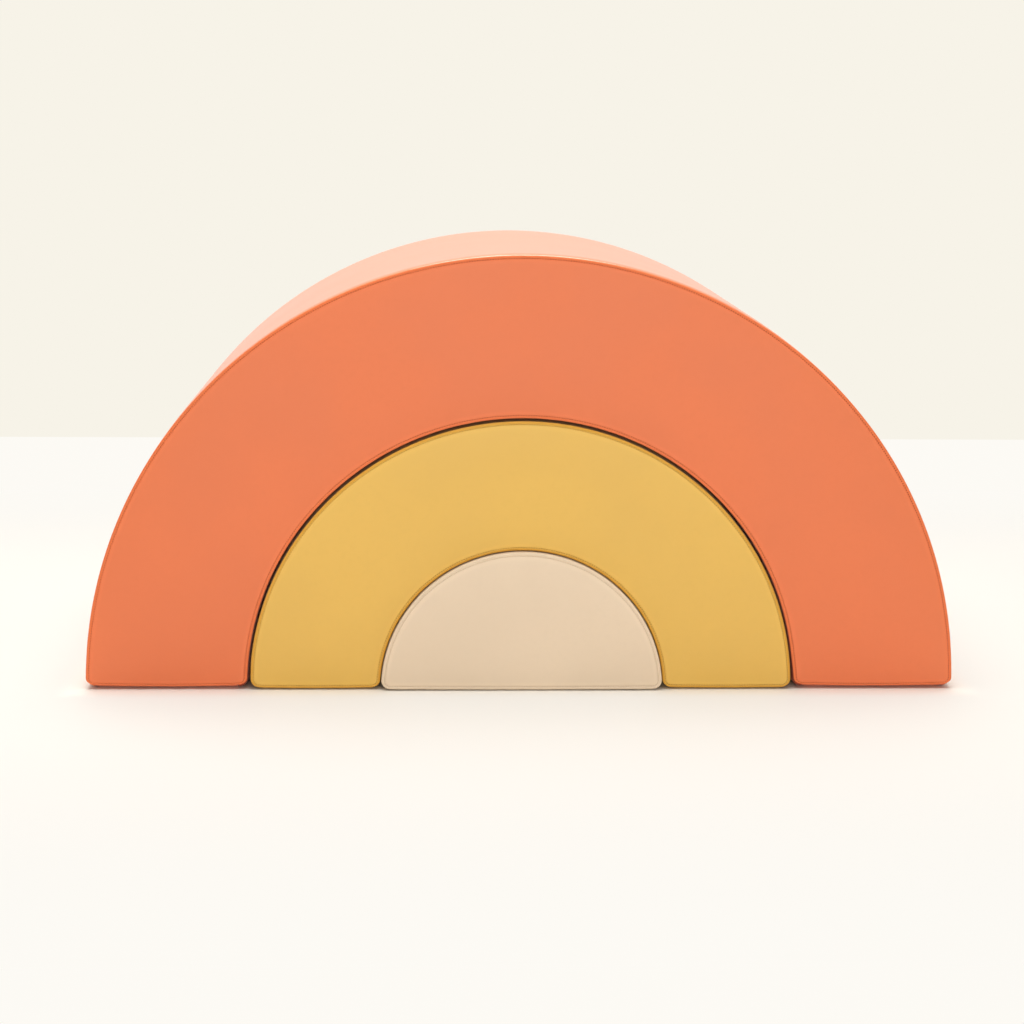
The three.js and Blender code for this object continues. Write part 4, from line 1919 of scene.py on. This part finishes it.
    def _dent(self, loop: np.ndarray, deep: np.ndarray) -> np.ndarray:
        """How far the foam is pressed in over the zip.

        Args:
            loop: X and Z of points on the foam.
            deep: Their places from the middle of the piece.

        Returns:
            The depth of the dent at each.
        """
        half_width = self.zip.opening / 2 + self.zip.hem + 10 * MM
        half_length = self.zip.half_slot + 26 * MM
        height = 12 * MM
        side_slope, slope = 6 * MM, 8 * MM
        beside = np.clip((half_width - np.abs(loop[:, 0] - self.zip.middle)) / side_slope, 0.0, 1.0)
        along = np.clip((half_length - np.abs(deep)) / slope, 0.0, 1.0)
        low = np.clip((height - loop[:, 1]) / slope, 0.0, 1.0)
        return self.zip_dent * beside * along * low

    def foam(self, finish: bpy.types.Material) -> bpy.types.Object:
        """The foam core, a little smaller than its cover, with a dent over the zip.

        Args:
            finish: The finish of the foam.

        Returns:
            The core.
        """
        shape = Outline(self.outline.outer, self.outline.inner, self.arc_steps // 3, 4)
        clear = COVER + self.foam_gap
        rounded = [(0.0, -5.0), (0.3, -2.6), (1.2, -1.2), (3.0, -0.8)]
        face = [(clear + inset * MM, height * MM) for inset, height in rounded]
        face += [(float(inset), -0.6 * MM) for inset in np.geomspace(9 * MM, self.deepest, 8)]
        side_end = self.half_depth - 12 * MM
        rows = [(inset, -self.half_depth - height, -1) for inset, height in face[::-1]]
        rows += [(clear, float(y), 0) for y in np.linspace(-side_end, side_end, 40)]
        rows += [(inset, self.half_depth + height, 1) for inset, height in face]
        points = []
        for inset, y, side in rows:
            loop = shape.loop(inset)
            deep = y + side * self.face.rise(loop)
            lift = self._dent(loop, deep)
            lift += self.lifted(loop[:, 0], loop[:, 1], self.half_depth - np.abs(deep))
            points.append(np.stack([loop[:, 0], self.centre + deep, loop[:, 1] + lift], -1))
        grid = np.stack(points)
        faces = lattice_faces(len(rows), grid.shape[1], False, True)
        faces += [corners[::-1] for corners in shape.cap_faces(0)]
        faces += shape.cap_faces((len(rows) - 1) * grid.shape[1])
        return piece_from(f"{self.name}_foam", grid, faces, finish)

    def topstitching(self, recipe: Recipe) -> bpy.types.Object:
        """All topstitching on the piece, as one mesh.

        Args:
            recipe: The recipe for it.

        Returns:
            The stitches.
        """
        lines = SewingLines()
        for side in Side:
            lines.add(self._stitch_row(side), (0.0, float(side.value), 0.0), True)
        self.zip.sew_hems(lines)
        values = {
            "Pitch": self.stitch_pitch,
            "Stitch length": self.stitch_length,
            "Thread radius": self.thread_radius,
            "Rise": self.thread_rise,
            "Sink": self.thread_sink,
            "Seed": self.seed,
            "Material": self.thread,
        }
        return recipe.run(f"{self.name}_topstitching", lines.mesh("sewing_lines"), values)

    def _settle(self, piece: bpy.types.Object, slot: str, *nodes: str, padded: bool = False) -> None:
        """Joins a piece to its body, hides the solids that it replaces and logs it.

        Args:
            piece: The finished piece.
            slot: The record's slot that it takes its finish from. Not used.
            nodes: The solids that it replaces, without the piece's own name.
            padded: Whether foam fills it out. Not used.
        """
        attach(piece, self.body)
        if nodes:
            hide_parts(*(f"{self.name}_{node}" for node in nodes))
        LOG.info("%s on %s: %d faces", piece.name, self.body, len(piece.data.polygons))

    def build(self, stitches: Recipe, coils: Recipe, foam: bpy.types.Material) -> None:
        """Builds and dresses every part of the piece.

        Args:
            stitches: The recipe for topstitching.
            coils: The recipe for a zip's coil.
            foam: The finish of the foam.
        """
        cover = self.upholstery.slot("cover")
        tape = self.upholstery.slot("tape")
        chain = self.upholstery.slot("chain")
        self._settle(self.foam(foam), "foam", "foam_core", padded=True)
        for side in Side:
            self._settle(self.face_panel(side), cover, f"{side.name.lower()}_panel", padded=True)
        self._settle(self.band(inner=False), cover, "crown_band", padded=True)
        if self.has_tunnel:
            self._settle(self.band(inner=True), cover, "tunnel_band", padded=True)
            self._settle(self.plain_foot(), cover, "plain_foot_panel", padded=True)
        for half in Half:
            self._settle(self.zip.strip(half), cover, f"zip_strip_{half.name.lower()}", padded=True)
            self._settle(self.zip.tape(half), tape, f"zip_tape_{half.name.lower()}")
        self._settle(self.zip.coil(coils), chain, "zip_chain")
        self._settle(self.zip.stop(), chain)
        self._settle(self.topstitching(stitches), tape)
        slider = frame["nodes"][f"{self.name}_zip_slider"]
        slider.data.materials.clear()
        slider.data.materials.append(self.slider_finish)


# Studio

DAYLIGHT = (1.0, 0.985, 0.955)


@dataclass(frozen=True)
class SoftLight:
    """A square soft light.

    Attributes:
        name: Its name.
        power: Its power in watts.
        size: Its width.
        place: Where it hangs.
        target: What it points at.
    """

    name: str
    power: float
    size: float
    place: Place
    target: Place

    def hang(self) -> bpy.types.Object:
        """Hangs the light.

        Returns:
            The light.
        """
        data = bpy.data.lights.new(self.name, "AREA")
        data.energy = self.power
        data.size = self.size
        data.color = DAYLIGHT
        lamp = placed(self.name, data)
        lamp.location = self.place
        aim = Vector(self.target) - Vector(self.place)
        lamp.rotation_euler = aim.to_track_quat("-Z", "Y").to_euler()
        return lamp


@dataclass
class Studio:
    """The floor, the wall behind, soft light from above and in front, and the camera.

    Attributes:
        wall_distance, wall_height: From the middle of the set back to the wall, and its height.
        floor_gap: How far below the set the floor is.
        reach: Half the width of the floor and the wall.
        floor_paint, wall_paint: Their colours as paint.
        floor_seen, wall_seen: Their colours in the picture.
        floor_evenness: How much of that the floor shows near the set.
        floor_shaded: Half the width and depth of the set, under which it shows none.
        top_light, front_light, under_light: The lights above, in front and under the floor.
        world_strength: Strength of the light from all round.
        camera_place: Where the camera stands.
        camera_turn: How far it looks towards +X, down, and how far it is tipped, in degrees.
        focal_pixels: Its focal length in pixels of the square picture.
        picture_pixels: Width of that picture.
        sensor: Width of its sensor in millimetres.
    """

    wall_distance: float = 2.07
    wall_height: float = 4.0
    floor_gap: float = 0.3 * MM
    reach: float = 9.0
    floor_paint: Color = (0.83, 0.8, 0.745)
    wall_paint: Color = (0.76, 0.745, 0.71)
    floor_seen: Color = (0.98, 0.957, 0.908)
    wall_seen: Color = (0.93, 0.896, 0.807)
    floor_evenness: float = 0.6
    floor_shaded: tuple[float, float] = (0.602, 0.303)
    top_light: SoftLight = SoftLight("top_light", 150.0, 3.2, (-0.2, 0.15, 3.3), (-0.1, 0.1, 0.0))
    front_light: SoftLight = SoftLight("front_light", 58.0, 3.0, (0.1, -3.6, -0.1), (0.0, 0.0, 0.2))
    under_light: SoftLight = SoftLight("under_light", 4.0, 2.0, (0.0, 0.0, -2.5), (0.0, 0.0, 0.0))
    world_strength: float = 0.55
    camera_place: Place = (-0.1273, -3.2584, 0.7904)
    camera_turn: tuple[float, float, float] = (2.163, 10.347, 0.483)
    focal_pixels: float = 2208.3
    picture_pixels: float = 1024.0
    sensor: float = 36.0

    def build(self) -> None:
        """Sets the whole stage."""
        self._floor()
        self._wall()
        self.top_light.hang()
        self.front_light.hang()
        self._world()
        self._camera()
        bpy.context.scene.view_settings.view_transform = "Standard"

    def _plane(self, name: str, corners: list[Place], finish: StageFinish) -> None:
        """Puts up a flat sheet of the stage.

        Args:
            name: Its name.
            corners: Its corners.
            finish: Its finish.
        """
        mesh = bpy.data.meshes.new(name)
        mesh.from_pydata(corners, [], [list(range(len(corners)))])
        mesh.materials.append(finish.material())
        placed(name, mesh)

    def _floor(self) -> None:
        """Lays the floor that the set stands on."""
        far = self.reach
        corners = [(-far, -far), (far, -far), (far, far), (-far, far)]
        seen = (self.floor_seen, self.floor_evenness, self.floor_shaded)
        finish = StageFinish("floor_paint", self.floor_paint, *seen)
        self._plane("floor", [(x, y, -self.floor_gap) for x, y in corners], finish)

    def _wall(self) -> None:
        """Puts up the wall behind the set, which is clear from its back."""
        far, low, high = self.reach, -self.floor_gap, self.wall_height
        corners = [(-far, low), (far, low), (far, high), (-far, high)]
        points = [(x, self.wall_distance, z) for x, z in corners]
        self._plane("wall", points, StageFinish("wall_paint", self.wall_paint, self.wall_seen))

    def light_underside(self) -> None:
        """Hangs a light for looks from below, which only the foot panels and the zips take and block."""
        underside = bpy.data.collections.new("underside")
        for item in bpy.data.objects:
            if item.name.endswith(FOOT_PANELS + ZIP_PARTS):
                underside.objects.link(item)
        lamp = self.under_light.hang()
        lamp.visible_camera = False
        lamp.light_linking.receiver_collection = underside
        lamp.light_linking.blocker_collection = underside

    def _world(self) -> None:
        """Lights the set evenly from all round."""
        world = bpy.data.worlds.new("soft_box")
        world.use_nodes = True
        graph = Graph(world.node_tree)
        feeds = {"Color": DAYLIGHT, "Strength": self.world_strength}
        light = graph.node("ShaderNodeBackground", {}, feeds)
        graph.node("ShaderNodeOutputWorld", {}, {"Surface": light})
        bpy.context.scene.world = world

    def _camera(self) -> None:
        """Sets up the camera, where the picture was taken from."""
        data = bpy.data.cameras.new("camera")
        data.sensor_width = self.sensor
        data.lens = self.focal_pixels * self.sensor / self.picture_pixels
        yaw, pitch, roll = (math.radians(angle) for angle in self.camera_turn)
        camera = placed("camera", data)
        turn = Matrix.Rotation(-yaw, 4, "Z") @ Matrix.Rotation(math.pi / 2 - pitch, 4, "X")
        camera.matrix_world = Matrix.Translation(self.camera_place) @ turn @ Matrix.Rotation(roll, 4, "Z")
        bpy.context.scene.camera = camera


# The set

CORAL = Upholstery(
    "coral", cover=(0.745, 0.168, 0.05), thread=(0.78, 0.19, 0.06), trim=(0.58, 0.117, 0.045),
    drawn=0.8, shaded_lip=0.0,
)
MUSTARD = Upholstery(
    "mustard", cover=(0.715, 0.435, 0.077), thread=(0.7, 0.39, 0.065), trim=(0.552, 0.287, 0.045),
    drawn=0.7, shaded_lip=0.8,
)
BEIGE = Upholstery(
    "beige", cover=(0.72, 0.575, 0.418), thread=(0.72, 0.55, 0.38), trim=(0.565, 0.397, 0.246),
    drawn=0.25, shaded_lip=0.0,
)
FOAM_COLOR = (0.88, 0.82, 0.67)


def main() -> None:
    """Builds the stage and the three pieces, in order."""
    logging.basicConfig(level=logging.INFO, format="%(name)s: %(message)s")
    studio = Studio()
    studio.build()
    stitches = stitch_recipe()
    coils = coil_recipe()
    foam = FoamCells("cut_foam", FOAM_COLOR).material()
    pieces = [
        SoftPiece(
            "outer", "outer_arch", CORAL, stitch_inset=4.2 * MM, arc_steps=470, seed=21,
            base_lift=5.2 * MM, crown_belly=0.3 * MM, tunnel_belly=2.2 * MM, tunnel_plump=-0.8 * MM,
            slump=2.2 * MM, dark_tunnel=True, tunnel_sway=1.8 * MM,
        ),
        SoftPiece(
            "middle", "middle_arch", MUSTARD, stitch_inset=4.2 * MM, arc_steps=300, seed=22,
            base_lift=2.2 * MM, crown_belly=2.2 * MM, crown_plump=-1.0 * MM, tunnel_belly=0.5 * MM,
            tunnel_plump=1.2 * MM, dark_crown=True, crown_sway=1.3 * MM,
        ),
        SoftPiece(
            "moon", "half_moon", BEIGE, stitch_inset=5.0 * MM, arc_steps=190, seed=23,
            base_lift=1.4 * MM, crown_belly=0.5 * MM, has_tunnel=False,
        ),
    ]
    for piece in pieces:
        piece.build(stitches, coils, foam)
    studio.light_underside()


if __name__ == "__main__":
    main()
